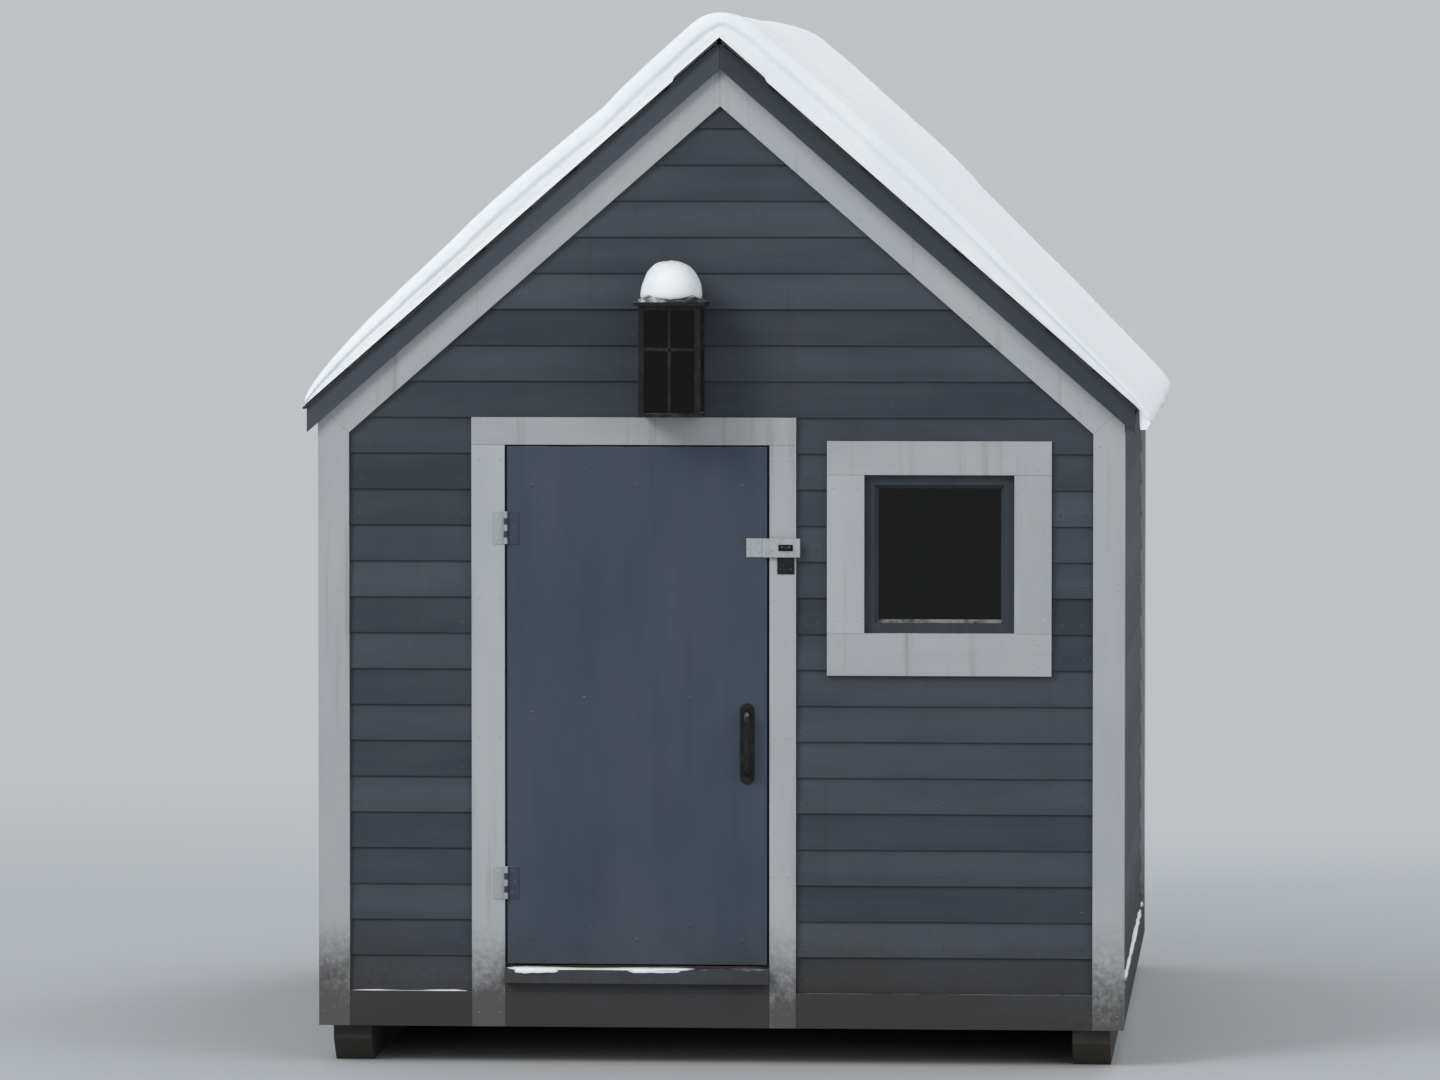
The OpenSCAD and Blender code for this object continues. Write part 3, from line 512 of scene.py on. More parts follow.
def painted(name, paint, dirt, wear, variation, darkening, roughness=0.5, frost=1.0, relief=0.0008):
    """Outdoor paint on boards, darker towards the ground and streaked, with frost on what looks up."""
    made, tree, shader = new_material(name)
    place = object_place(tree)
    film = place_group(tree, paint_film_group, {
        "Grain": own(tree, "grain")["Vector"], "Tint": own(tree, "tint")["Fac"], "Paint": rgba(paint),
        "Bare": rgba(bpy.context.scene.hut_colours.bare), "Wear": wear, "Variation": variation,
        "Roughness": roughness})
    # Darker towards the ground, and streaked down the wall
    worn = place_group(
        tree, weather_group, {"Place": place, "Color": film["Color"], "Darker Color": dirt, "Amount": darkening})
    dusted = place_group(tree, frost_group, {"Place": place, "Color": worn["Color"], "Amount": frost})
    tree.links.new(dusted["Color"], shader["Base Color"])
    rough = more(tree, film["Roughness"], worn["Mask"], 0.3)
    tree.links.new(more(tree, rough, dusted["Mask"], 0.3, clamp=True), shader["Roughness"])
    shader["Specular IOR Level"].default_value = 0.18
    bump(tree, film["Height"], relief, shader)
    return made


def sawn(name, wood, variation=0.35, damp=0.0):
    """Bare sawn wood, with damp near the ground where there is any."""
    made, tree, shader = new_material(name)
    plank = place_group(tree, sawn_wood_group, {
        "Grain": own(tree, "grain")["Vector"], "Tint": own(tree, "tint")["Fac"], "Wood": rgba(wood),
        "Variation": variation})
    soaked = place_group(tree, weather_group, {
        "Place": object_place(tree), "Color": plank["Color"], "Darker Color": WET_WOOD,
        "Darkening Height": 0.22, "Amount": damp})
    tree.links.new(soaked["Color"], shader["Base Color"])
    tree.links.new(plank["Roughness"], shader["Roughness"])
    shader["Specular IOR Level"].default_value = 0.3
    bump(tree, plank["Height"], 0.0006, shader)
    return made


def plywood(name, wood):
    """Plywood: wide rotary-cut figure on the faces and thin plies on the edges."""
    made, tree, shader = new_material(name)
    grain = own(tree, "grain")["Vector"]
    face = place_group(tree, sawn_wood_group, {
        "Grain": vector_maths(tree, "MULTIPLY", grain, (1.0, 1.0, 0.0)), "Tint": own(tree, "tint")["Fac"],
        "Wood": rgba(wood), "Ring Width": 0.034, "Knots": 0.8, "Variation": 0.25})
    ply = maths(tree, "PINGPONG", axes(tree, grain)[2], 0.0024)
    edge = blend(tree, spread(tree, ply, 0.0010, 0.0014), PLY_DARK, PLY_LIGHT)
    tree.links.new(blend(tree, own(tree, "cut")["Fac"], face["Color"], edge), shader["Base Color"])
    tree.links.new(face["Roughness"], shader["Roughness"])
    shader["Specular IOR Level"].default_value = 0.3
    bump(tree, face["Height"], 0.0004, shader)
    return made


def black_metal(name, colour):
    """Black powder coat: fine orange peel, rubbed a little, dusted with frost on top."""
    made, tree, shader = new_material(name)
    place = object_place(tree)
    rub = mottle(tree, place, 38.0, 5.0, 0.6)
    coat = blend(tree, spread(tree, rub, 0.45, 0.75), rgba(colour), RUBBED_BLACK)
    dusted = place_group(tree, frost_group, {"Place": place, "Color": coat, "Amount": 0.7})
    tree.links.new(dusted["Color"], shader["Base Color"])
    rough = spread(tree, rub, 0.3, 0.7, 0.34, 0.52)
    tree.links.new(more(tree, rough, dusted["Mask"], 0.3), shader["Roughness"])
    shader["Specular IOR Level"].default_value = 0.22
    bump(tree, mottle(tree, place, 900.0, 2.0), 0.00012, shader)
    return made


def galvanised(name, colour):
    """Zinc coated steel: crystal spangle in tone and roughness, dulled by weather."""
    made, tree, shader = new_material(name)
    tone = crystals(tree, 190.0)[0]
    dull = mottle(tree, object_place(tree), 55.0, 4.0, 0.6)
    steel = blend(tree, spread(tree, tone, 0.0, 1.0, 0.0, 0.35), rgba(colour), DARK_SPANGLE)
    steel = blend(tree, spread(tree, dull, 0.55, 0.75, 0.0, 0.6), steel, ZINC_BLOOM)
    tree.links.new(steel, shader["Base Color"])
    tree.links.new(spread(tree, dull, 0.3, 0.7, 0.34, 0.58), shader["Roughness"])
    shader["Metallic"].default_value = 0.85
    bump(tree, tone, 0.00008, shader)
    return made


def shingle_surface(name, colour):
    """Mineral granules, with a tone for each tab."""
    made, tree, shader = new_material(name)
    tone, depth = crystals(tree, 620.0)
    light = more(tree, spread(tree, tone, 0.0, 1.0, 0.55, 1.6), own(tree, "tint")["Fac"], 0.5)
    tree.links.new(shaded(tree, rgba(colour), light), shader["Base Color"])
    shader["Roughness"].default_value = 0.92
    bump(tree, depth, 0.0009, shader)
    return made


def glass(name, tint, roughness, ior):
    """Thin glass darkened by its tint that lets light through, with an uneven film of dirt that dulls it
    in places; the window pane's dark tint is painted shade of the room behind it.
    """
    made, tree, shader = new_material(name)
    film = mottle(tree, object_place(tree), 26.0, 6.0, 0.66)
    tree.links.new(spread(tree, film, 0.35, 0.8, roughness, roughness + 0.16), shader["Roughness"])
    shader["Base Color"].default_value = rgba(tint)
    shader["Transmission Weight"].default_value = 1.0
    shader["IOR"].default_value = ior
    return made


def snow_surface(name, colour):
    """Settled snow: soft light inside, fine grains and a faint crust."""
    made, tree, shader = new_material(name)
    place = object_place(tree)
    soft = mottle(tree, place, 5.0, 4.0, 0.55)
    grain = mottle(tree, place, 240.0, 5.0, 0.7)
    crust = mottle(tree, place, 34.0, 5.0, 0.62)
    tone = blend(tree, spread(tree, soft, 0.35, 0.7), rgba(colour), WARM_SNOW)
    tone = blend(tree, spread(tree, crust, 0.58, 0.80, 0.0, 0.25), tone, SNOW_CRUST)
    tree.links.new(tone, shader["Base Color"])
    tree.links.new(spread(tree, grain, 0.3, 0.7, 0.55, 0.85), shader["Roughness"])
    shader["Subsurface Weight"].default_value = 0.25
    shader["Subsurface Radius"].default_value = (0.6, 0.8, 1.0)
    shader["Subsurface Scale"].default_value = 0.012
    shader["Specular IOR Level"].default_value = 0.35
    bump(tree, weighed(tree, grain, 0.3, crust, 0.7), 0.0035, shader)
    return made


FINISHES = {}
FINISH_MAKERS = {
    "slate_paint": lambda name, c: painted(
        name, c.siding, DARK_STREAK_AND_FOOT, wear=0.35, variation=0.42, darkening=0.8, roughness=0.64, frost=0.35),
    "door_paint": lambda name, c: painted(
        name, c.door, DARK_STREAK_AND_FOOT, wear=0.22, variation=0.22, darkening=0.7, roughness=0.44, relief=0.0004),
    "light_paint": lambda name, c: painted(
        name, c.trim, PALE_STREAK_AND_FOOT, wear=0.30, variation=0.16, darkening=0.92),
    "framing_timber": lambda name, c: sawn(name, c.timber),
    "skid_timber": lambda name, c: sawn(name, c.skid, variation=0.5, damp=0.8),
    "plywood": lambda name, c: plywood(name, c.plywood),
    "roofing": lambda name, c: shingle_surface(name, c.roofing),
    "black_metal": lambda name, c: black_metal(name, c.iron),
    "galvanised": lambda name, c: galvanised(name, c.zinc),
    # The window pane's dark tint is painted shade, standing in for the unlit room seen through it
    "window_glass": lambda name, c: glass(name, (0.15, 0.162, 0.17), roughness=0.02, ior=1.34),
    "lantern_glass": lambda name, c: glass(name, (0.06, 0.058, 0.054), roughness=0.05, ior=1.30),
    "snow": lambda name, c: snow_surface(name, c.snow),
}


def finish_of(slot):
    """The material of one of the record's slots, made once."""
    if slot not in FINISHES:
        FINISHES[slot] = FINISH_MAKERS[slot](slot, bpy.context.scene.hut_colours)
    return FINISHES[slot]


def refinish(node):
    """Gives a CAD node that keeps its own shape the finish of its slot."""
    materials = frame["nodes"][node].data.materials
    materials.clear()
    materials.append(finish_of(SLOT_OF[node]))


# Mesh helpers

def mark(part, origin, along, across, through, tint, shift):
    """Gives each point its place on its own board and a tint for the board."""
    grain = part.verts.layers.float_vector.get("grain") or part.verts.layers.float_vector.new("grain")
    tone = part.verts.layers.float.get("tint") or part.verts.layers.float.new("tint")
    for v in part.verts:
        p = v.co - origin
        v[grain] = Vector((p.dot(along) + shift.x, p.dot(across) + shift.y, p.dot(through) + shift.z))
        v[tone] = tint


def gather(total, part):
    """Adds a part to a larger mesh and frees it."""
    carrier = bpy.data.meshes.new("carrier")
    part.to_mesh(carrier)
    total.from_mesh(carrier)
    bpy.data.meshes.remove(carrier)
    part.free()


def make_piece(name, shape, slot, body, replaces=(), sharp=SHARP):
    """Turns a mesh into a finished piece that rides on a body."""
    bmesh.ops.recalc_face_normals(shape, faces=shape.faces[:])
    mesh = bpy.data.meshes.new(name)
    shape.to_mesh(mesh)
    shape.free()
    mesh.shade_smooth()
    mesh.set_sharp_from_angle(angle=sharp)
    mesh.materials.append(finish_of(slot))
    made = bpy.data.objects.new(name, mesh)
    bpy.context.scene.collection.objects.link(made)
    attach(made, body)
    if replaces:
        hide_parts(*replaces)


def solids_of(node):
    """Each solid of a CAD node as a mesh of its own, welded, with its flat faces whole."""
    whole = bmesh.new()
    whole.from_mesh(frame["nodes"][node].data)
    bmesh.ops.remove_doubles(whole, verts=whole.verts[:], dist=WELD)
    bmesh.ops.dissolve_limit(whole, angle_limit=FLAT, verts=whole.verts[:], edges=whole.edges[:])
    whole.verts.ensure_lookup_table()
    whole.verts.index_update()
    group_of = [None] * len(whole.verts)
    parts = []
    for start in whole.verts:
        if group_of[start.index] is not None:
            continue
        part = bmesh.new()
        copies = {}
        group_of[start.index] = part
        waiting = [start]
        while waiting:
            v = waiting.pop()
            copies[v.index] = part.verts.new(v.co)
            for e in v.link_edges:
                other = e.other_vert(v)
                if group_of[other.index] is None:
                    group_of[other.index] = part
                    waiting.append(other)
        for f in whole.faces:
            if group_of[f.verts[0].index] is part:
                part.faces.new([copies[v.index] for v in f.verts])
        parts.append(part)
    whole.free()
    return parts


def extent(part, direction):
    """How far a part reaches in a direction."""
    along = [v.co.dot(direction) for v in part.verts]
    return max(along) - min(along)


def board_axes(part):
    """A solid's length, width and thickness directions, read from its own edges."""
    edges = [(e.verts[1].co - e.verts[0].co) for e in part.edges]
    along = max(edges, key=lambda d: round(d.length, 4)).normalized()
    if sum(along) < 0:
        along = -along
    square = [d.normalized() for d in edges if d.length > WELD and abs(d.normalized().dot(along)) < 0.05]
    through = min(square, key=lambda d: round(extent(part, d), 4))
    return along, through.cross(along), through


def dressed(node, arris, rng):
    """The solids of a node with rounded arrises, each marked as a board of its own."""
    total = bmesh.new()
    for part in solids_of(node):
        along, across, through = board_axes(part)
        if arris:
            edges = [e for e in part.edges if e.calc_face_angle(0) > SHARP]
            bmesh.ops.bevel(
                part, geom=edges, offset=arris, segments=2, profile=0.6, affect="EDGES",
                clamp_overlap=True)
        low = min(v.co.dot(through) for v in part.verts)
        shift = Vector((rng.uniform(0, 50), rng.uniform(0, 50), -low))
        mark(part, Vector(), along, across, through, rng.random(), shift)
        cut = part.verts.layers.float.new("cut")
        for v in part.verts:
            v[cut] = 0.0 if any(abs(f.normal.dot(through)) > 0.9 for f in v.link_faces) else 1.0
        gather(total, part)
    return total


def dress_nodes(names, arris, seed):
    """Replaces CAD nodes with finished copies of the same solids."""
    rng = random.Random(seed)
    for node in names:
        make_piece(node + "_finish", dressed(node, arris, rng), SLOT_OF[node], BODY_OF[node], [node])


def skin(part, rings):
    """Faces between successive rings of points."""
    for a, b in zip(rings, rings[1:]):
        for i in range(len(a)):
            j = (i + 1) % len(a)
            part.faces.new((a[i], a[j], b[j], b[i]))


def ring_of(part, points):
    """New points of a part, in order."""
    return [part.verts.new(p) for p in points]


def tube(part, rings):
    """Faces between rings of points, closed at both ends."""
    skin(part, rings)
    part.faces.new(rings[0][::-1])
    part.faces.new(rings[-1])


def fan(part, ring, tip):
    """Faces from a ring of points to one point."""
    end = part.verts.new(tip)
    for a, b in zip(ring, ring[1:] + ring[:1]):
        part.faces.new((a, b, end))


def around(i, sides):
    """The cosine and sine of one of a circle's even steps."""
    angle = 2 * math.pi * i / sides
    return math.cos(angle), math.sin(angle)


def head(total, centre, turn, profile, sides, arm):
    """A small head from a profile of radii and heights; arm says how far each ring reaches at a step."""
    rings = []
    for radius, height in profile:
        ring = []
        for i in range(sides):
            x, y = around(i, sides)
            reach = radius * arm(len(rings), i)
            ring.append(centre + turn @ Vector((reach * x, reach * y, height)))
        rings.append(ring_of(total, ring))
    tube(total, rings)


def nail(total, centre, normal, radius, height):
    """A low round nail head on a surface."""
    turn = normal.to_track_quat("Z", "Y").to_matrix()
    profile = [(radius * share, height * lift) for share, lift in (
        (1.0, 0.0), (0.92, 0.55), (0.55, 0.93))]
    head(total, centre, turn, profile, 8, lambda ring, i: 1.0)


def screw(total, centre, radius, turn_deg):
    """A countersunk screw head with a cross recess, on a face that looks to the front."""
    turn = FRONT.to_track_quat("Z", "Y").to_matrix() @ Matrix.Rotation(math.radians(turn_deg), 3, "Z")
    profile = [(radius * share, radius * lift) for share, lift in (
        (1.0, 0.0), (0.94, 0.16), (0.62, 0.22), (0.5, 0.20), (0.3, -0.16))]
    head(total, centre, turn, profile, 16, lambda ring, i: 1.0 if ring < 3 or i % 4 == 0 else 0.42)


def mark_all(total, tint=0.5):
    """Marks small fixings so that the paint on them matches the boards."""
    mark(total, Vector(), RIGHT, BACK, UP, tint, Vector())


# The lapped boards

class Wall:
    """A wall that carries lapped boards: s runs along it, d stands out from it."""

    def __init__(self, name, along, out, face, s0, s1, top, holes=(), gable=False):
        self.name = name
        self.along = along
        self.out = out
        self.face = face
        self.s0 = s0
        self.s1 = s1
        self.top = top
        self.holes = holes
        self.gable = gable

    def at(self, s, d, z):
        """A point of the wall in the hut's frame."""
        return self.along * s + self.out * (self.face + d) + Vector((0, 0, z))


def row_pitch():
    """Height of lapped board that shows in each row."""
    return (HEAD_Z - SKIRT_Z) / bpy.context.scene.hut_boards.rows_beside_door


def lapped_board(wall, s0, s1, z0, rng):
    """One lapped board from s0 to s1 with its lower edge at z0: a wedge that overlaps the row below."""
    boards = bpy.context.scene.hut_boards
    z1 = z0 + row_pitch()
    station = 0.11
    round_off = 0.0016
    air = 0.0006
    warp = 0.0004
    most_lean = 0.0003
    count = max(2, round((s1 - s0) / station))
    seed = Vector((rng.uniform(0, 90), rng.uniform(0, 90), 0))
    lean = rng.uniform(-1, 1) * most_lean
    part = bmesh.new()
    rings = []
    for i in range(count + 1):
        s = s0 + (s1 - s0) * i / count
        stray = noise.noise(seed + Vector((s * 2.2, 0, 0))) * boards.wander
        stand = noise.noise(seed + Vector((s * 1.7, 7, 0))) * warp + lean
        cup = noise.noise(seed + Vector((s * 1.1, 14, 0))) * warp
        low = z0 + stray
        front = LAP_T - 0.0005 + stand
        rings.append(ring_of(part, [wall.at(s, d, z) for d, z in (
            (boards.tip + 0.0004, low),
            (front - round_off, low),
            (front - 0.0003, low + 0.0006),
            (front, low + round_off),
            ((front + boards.tip) / 2 + cup, (low + z1) / 2),
            (boards.tip, z1),
            (boards.feather + air, z1 + boards.lap),
            (air, z1 + boards.lap))]))
    tube(part, rings)
    return part


def slice_off(part, point, normal):
    """Cuts away what lies beyond a plane and closes the cut."""
    geometry = part.verts[:] + part.edges[:] + part.faces[:]
    bmesh.ops.bisect_plane(part, geom=geometry, plane_co=point, plane_no=normal, clear_outer=True)
    rim = [e for e in part.edges if e.is_boundary]
    if rim:
        bmesh.ops.holes_fill(part, edges=rim, sides=0)


def notch(part, wall, hole):
    """Cuts a board round a casing."""
    cutter = bmesh.new()
    corners = [wall.at(s, d, z) for s in hole[:2] for d in (-0.05, 0.05) for z in hole[2:]]
    bmesh.ops.convex_hull(cutter, input=ring_of(cutter, corners))
    blank, tool = (passing_object(shape) for shape in (part, cutter))
    cut = blank.modifiers.new("cut", "BOOLEAN")
    cut.operation = "DIFFERENCE"
    cut.solver = "EXACT"
    cut.object = tool
    shown = blank.evaluated_get(bpy.context.evaluated_depsgraph_get())
    result = bmesh.new()
    result.from_mesh(shown.to_mesh())
    shown.to_mesh_clear()
    for passing in (blank, tool):
        mesh = passing.data
        bpy.data.objects.remove(passing)
        bpy.data.meshes.remove(mesh)
    return result


def passing_object(shape):
    """An object that lasts only for one cut."""
    mesh = bpy.data.meshes.new("passing")
    shape.to_mesh(mesh)
    shape.free()
    made = bpy.data.objects.new("passing", mesh)
    bpy.context.scene.collection.objects.link(made)
    return made


def spans_row(low, high, z0, z1):
    """Whether a casing fills a row from its lower to its upper edge."""
    slack = 0.001
    return low <= z0 + slack and high >= z1 - slack


def free_spans(wall, z0, z1):
    """The stretches of a row that no casing fills."""
    spans = [(wall.s0, wall.s1)]
    for h0, h1, low, high in wall.holes:
        if not spans_row(low, high, z0, z1):
            continue
        cut = []
        for a, b in spans:
            if h0 > a and h1 < b:
                cut += [(a, h0), (h1, b)]
            elif h0 <= a and h1 < b:
                cut.append((max(a, h1), b))
            elif h1 >= b and h0 > a:
                cut.append((a, min(b, h0)))
        spans = cut
    return spans


def under_rake_plane(side):
    """A point and the normal of the plane along the underside of a slope's rake trim."""
    return Vector((0, 0, DECK_Z - UNDER_RAKE / COS)), Vector((side * SIN, 0, COS))


def lapped_wall(wall, seed):
    """All the lapped boards of a wall in one mesh, and the places of their nails."""
    rng = random.Random(seed)
    pitch = row_pitch()
    thinnest_row = 0.004
    shortest_board = 0.02
    lap_room = 0.02
    total = bmesh.new()
    nails = []
    z0 = SKIRT_Z
    row = 0
    while z0 < wall.top - thinnest_row:
        z1 = z0 + pitch
        for a, b in free_spans(wall, z0, z1):
            if wall.gable:
                reach = (DECK_Z - UNDER_RAKE / COS - z0) / TAN
                a, b = max(a, -reach), min(b, reach)
            if b - a < shortest_board:
                continue
            part = lapped_board(wall, a, b, z0, rng)
            for hole in wall.holes:
                h0, h1, low, high = hole
                touches = h0 < b and h1 > a and low < z1 and high > z0
                if touches and not spans_row(low, high, z0, z1):
                    part = notch(part, wall, hole)
            if wall.gable:
                for side in (-1, 1):
                    slice_off(part, *under_rake_plane(side))
            if z1 + lap_room > wall.top:
                slice_off(part, Vector((0, 0, wall.top)), UP)
            if part.faces:
                shift = Vector((rng.uniform(0, 50), rng.uniform(0, 50), 0))
                mark(part, Vector((0, 0, z0)), wall.along, UP, wall.out, rng.random(), shift)
                nails += nail_places(wall, a, b, z0, rng)
            gather(total, part)
        row += 1
        z0 = SKIRT_Z + row * pitch
    return total, nails


def nail_places(wall, a, b, z0, rng):
    """Nails just over a board's lower edge, at its ends and on the studs between."""
    inset = 0.022
    stud_spacing = 0.42
    over_edge = 0.024
    seat = 0.0027
    if b - a < 3 * inset:
        return []
    count = max(1, math.ceil((b - a - 2 * inset) / stud_spacing))
    places = []
    for i in range(count + 1):
        s = a + inset + (b - a - 2 * inset) * i / count + rng.uniform(-0.004, 0.004)
        z = z0 + over_edge + rng.uniform(-0.003, 0.003)
        places.append((wall.at(s, LAP_T - seat, z), wall.out))
    return places


def hut_walls():
    """The four walls, with the casings that their boards stop at."""
    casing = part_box("door_casing")
    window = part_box("window_casing")
    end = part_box("front_siding")
    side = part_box("right_siding")
    gap = 0.001
    door_hole = (casing[0].x - gap, casing[1].x + gap, 0.0, casing[1].z)
    window_hole = (window[0].x - gap, window[1].x + gap, window[0].z - gap, window[1].z + gap)
    ends = end[0].x, end[1].x, end[1].z
    sides = side[0].y, side[1].y, side[1].z
    return [
        Wall("front", RIGHT, FRONT, -WALL_FRONT_Y, *ends, (door_hole, window_hole), True),
        Wall("back", RIGHT, BACK, WALL_BACK_Y, *ends, (), True),
        Wall("left", BACK, -RIGHT, WALL_X, *sides),
        Wall("right", BACK, RIGHT, WALL_X, *sides),
    ]


def nail_heads(name, places, height, slot):
    """A piece with the heads of all the given nails."""
    heads = bmesh.new()
    for place, normal in places:
        nail(heads, place, normal, bpy.context.scene.hut_boards.nail, height)
    mark_all(heads)
    make_piece(name, heads, slot, "root")


class HUT_OT_siding(bpy.types.Operator):
    """Lays the lapped boards on the four walls and nails them"""

    bl_idname = "hut.siding"
    bl_label = "Lapped Boards"

    def execute(self, context):
        for seed, wall in enumerate(hut_walls(), start=11):
            total, nails = lapped_wall(wall, seed)
            make_piece(wall.name + "_boards", total, "slate_paint", "root", [wall.name + "_siding"])
            nail_heads(wall.name + "_nails", nails, 0.0012, "slate_paint")
        return {"FINISHED"}


class HUT_OT_timber(bpy.types.Operator):
    """Finishes the skids, floor, wall frames and roof frame in sawn timber"""

    bl_idname = "hut.timber"
    bl_label = "Timber Frame"

    def execute(self, context):
        dress_nodes(
            ("skids", "side_rims", "floor_joists", "end_wall_plates", "side_wall_plates", "end_studs",
             "side_studs", "window_framing", "rafters", "ridge_board", "door_stops"),
            2 * context.scene.hut_boards.arris, seed=3)
        return {"FINISHED"}


class HUT_OT_sheathing(bpy.types.Operator):
    """Finishes the floor, wall and roof sheets in plywood"""

    bl_idname = "hut.sheathing"
    bl_label = "Plywood Sheets"

    def execute(self, context):
        dress_nodes(
            ("floor_deck", "front_wall", "front_gable", "back_wall", "left_wall", "right_wall",
             "roof_deck"),
            arris=0.0, seed=5)
        return {"FINISHED"}


def nail_pairs(a, b, half_width, spacing, normal=FRONT):
    """Pairs of nails along a board from a to b, near both of its edges."""
    inset = 0.03
    along = (b - a).normalized()
    across = along.cross(normal)
    length = (b - a).length - 2 * inset
    count = max(1, round(length / spacing))
    places = []
    for i in range(count + 1):
        middle = a + along * (inset + length * i / count)
        places += [(middle + across * half_width, normal), (middle - across * half_width, normal)]
    return places


def end_trim_nails():
    """Nails through the corner boards and the rake trim, at the front and the back."""
    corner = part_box("corner_boards")
    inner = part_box("front_siding")[1].x
    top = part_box("eave_fascias")[0].z
    half_rake = 0.032
    mid_rake = DECK_Z - (UNDER_RAKE - half_rake) / COS
    places = []
    for y, normal in ((corner[0].y, FRONT), (corner[1].y, BACK)):
        for side in (-1, 1):
            x = side * (inner + TRIM_X) / 2
            a, b = (Vector((x, y, z)) for z in (corner[0].z, top))
            places += nail_pairs(a, b, half_width=0.022, spacing=0.36, normal=normal)
            a, b = (Vector((side * t, y, mid_rake - t * TAN)) for t in (0.06, inner))
            places += nail_pairs(a, b, half_width=0.016, spacing=0.38, normal=normal)
    return places


def casing_nails():
    """Nails through the casings of the door and the window."""
    casing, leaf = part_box("door_casing"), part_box("door_panel")
    window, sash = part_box("window_casing"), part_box("window_sash")
    head_z = (leaf[1].z + casing[1].z) / 2 + 0.002
    places = []
    for side, half_width in ((0, 0.024), (1, 0.018)):
        x = (casing[side].x + leaf[side].x) / 2
        places += nail_pairs(*upright(x, casing[0].z, leaf[1].z), half_width, spacing=0.34)
    places += nail_pairs(*level(casing, head_z), half_width=0.019, spacing=0.36)
    for side in (0, 1):
        x = (window[side].x + sash[side].x) / 2
        places += nail_pairs(*upright(x, sash[0].z, sash[1].z), half_width=0.026, spacing=0.3)
    for side in (0, 1):
        z = (window[side].z + sash[side].z) / 2
        places += nail_pairs(*level(window, z), half_width=0.026, spacing=0.42)
    return places


def upright(x, z0, z1):
    """The ends of an upright board's middle line on the front trim."""
    return Vector((x, TRIM_FRONT_Y, z0)), Vector((x, TRIM_FRONT_Y, z1))


def level(box, z):
    """The ends of a level board's middle line on the front trim, as wide as a box."""
    return Vector((box[0].x, TRIM_FRONT_Y, z)), Vector((box[1].x, TRIM_FRONT_Y, z))


class HUT_OT_trim(bpy.types.Operator):
    """Finishes the light and dark trim boards and nails them"""

    bl_idname = "hut.trim"
    bl_label = "Trim Boards"

    def execute(self, context):
        dress_nodes(
            ("rake_trim", "rake_boards", "eave_fascias", "corner_boards", "skirt_boards", "door_casing",
             "door_sill", "window_casing"),
            context.scene.hut_boards.arris, seed=7)
        nail_heads("trim_nails", end_trim_nails() + casing_nails(), 0.0009, "light_paint")
        return {"FINISHED"}


# The roof

SHINGLES_T = 0.006


def on_slope(side, u, h, y):
    """A point u down a slope from the ridge and h over the roof deck."""
    return Vector((side * (u * COS + h * SIN), y, DECK_Z - u * SIN + h * COS))


def slope_block(total, side, u0, u1, y0, y1, lows, highs, tint):
    """A tapered block on a slope, with the heights of its underside and top at u0 and u1."""
    part = bmesh.new()
    corners = []
    for y in (y0, y1):
        for u, low, high in ((u0, lows[0], highs[0]), (u1, lows[1], highs[1])):
            corners += [on_slope(side, u, low, y), on_slope(side, u, high, y)]
    bmesh.ops.convex_hull(part, input=ring_of(part, corners))
    bmesh.ops.dissolve_limit(part, angle_limit=FLAT, verts=part.verts[:], edges=part.edges[:])
    mark(part, Vector(), BACK, RIGHT, UP, tint, Vector())
    gather(total, part)


class HUT_OT_shingles(bpy.types.Operator):
    """Lays the shingle tabs on both slopes and the caps over the ridge"""

    bl_idname = "hut.shingles"
    bl_label = "Shingles"

    def execute(self, context):
        rng = random.Random(21)
        self.lay_tabs(rng)
        self.lay_caps(rng)
        return {"FINISHED"}

    def lay_tabs(self, rng):
        """Courses of tabs from the eave up, each over the head of the one below."""
        low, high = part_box("shingles")
        reach = (high.x - SHINGLES_T * SIN) / COS
        course, tab, slot = 0.143, 0.2795, 0.006
        bed, backing = 0.0005, 0.0018
        lows = bed, bed + 0.0022
        head_top, tail_top = SHINGLES_T / 2 - 0.0002, SHINGLES_T - 0.0006
        total = bmesh.new()
        for side in (-1, 1):
            for row in range(math.ceil(reach / course)):
                u1 = reach - row * course
                u0 = max(u1 - course + 0.002, 0.004)
                y = low.y - tab * (0.5 if row % 2 else 0.0)
                while y < high.y:
                    a, b = max(y + slot / 2, low.y), min(y + tab - slot / 2, high.y)
                    if b - a > 0.01:
                        highs = head_top, tail_top + rng.uniform(0, 0.0006)
                        slope_block(total, side, u0, u1, a, b, lows, highs, rng.random())
                    y += tab
                slope_block(
                    total, side, u0, u1 - 0.001, low.y, high.y, (bed, bed), (bed + backing,) * 2,
                    rng.random())
        make_piece("shingle_tabs", total, "roofing", "root", ["shingles"])

    def lay_caps(self, rng):
        """Folded caps along the ridge, each over the tail of the one before."""
        low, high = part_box("ridge_cap")
        width = high.x / COS - (SHINGLES_T + 0.005) * TAN
        step, lap = 0.142, 0.02
        lows, highs = (SHINGLES_T,) * 2, (SHINGLES_T + 0.0042,) * 2
        total = bmesh.new()
        y = low.y
        while y < high.y - 0.01:
            y1 = min(y + step + lap, high.y)
            tint = rng.random()
            for side in (-1, 1):
                slope_block(total, side, 0.0, width, y, y1, lows, highs, tint)
            y += step
        make_piece("ridge_caps", total, "roofing", "root", ["ridge_cap"])


# The snow

def wave(x, y, z):
    """Smooth noise at a place, between -1 and 1."""
    return noise.noise(Vector((x, y, z)))


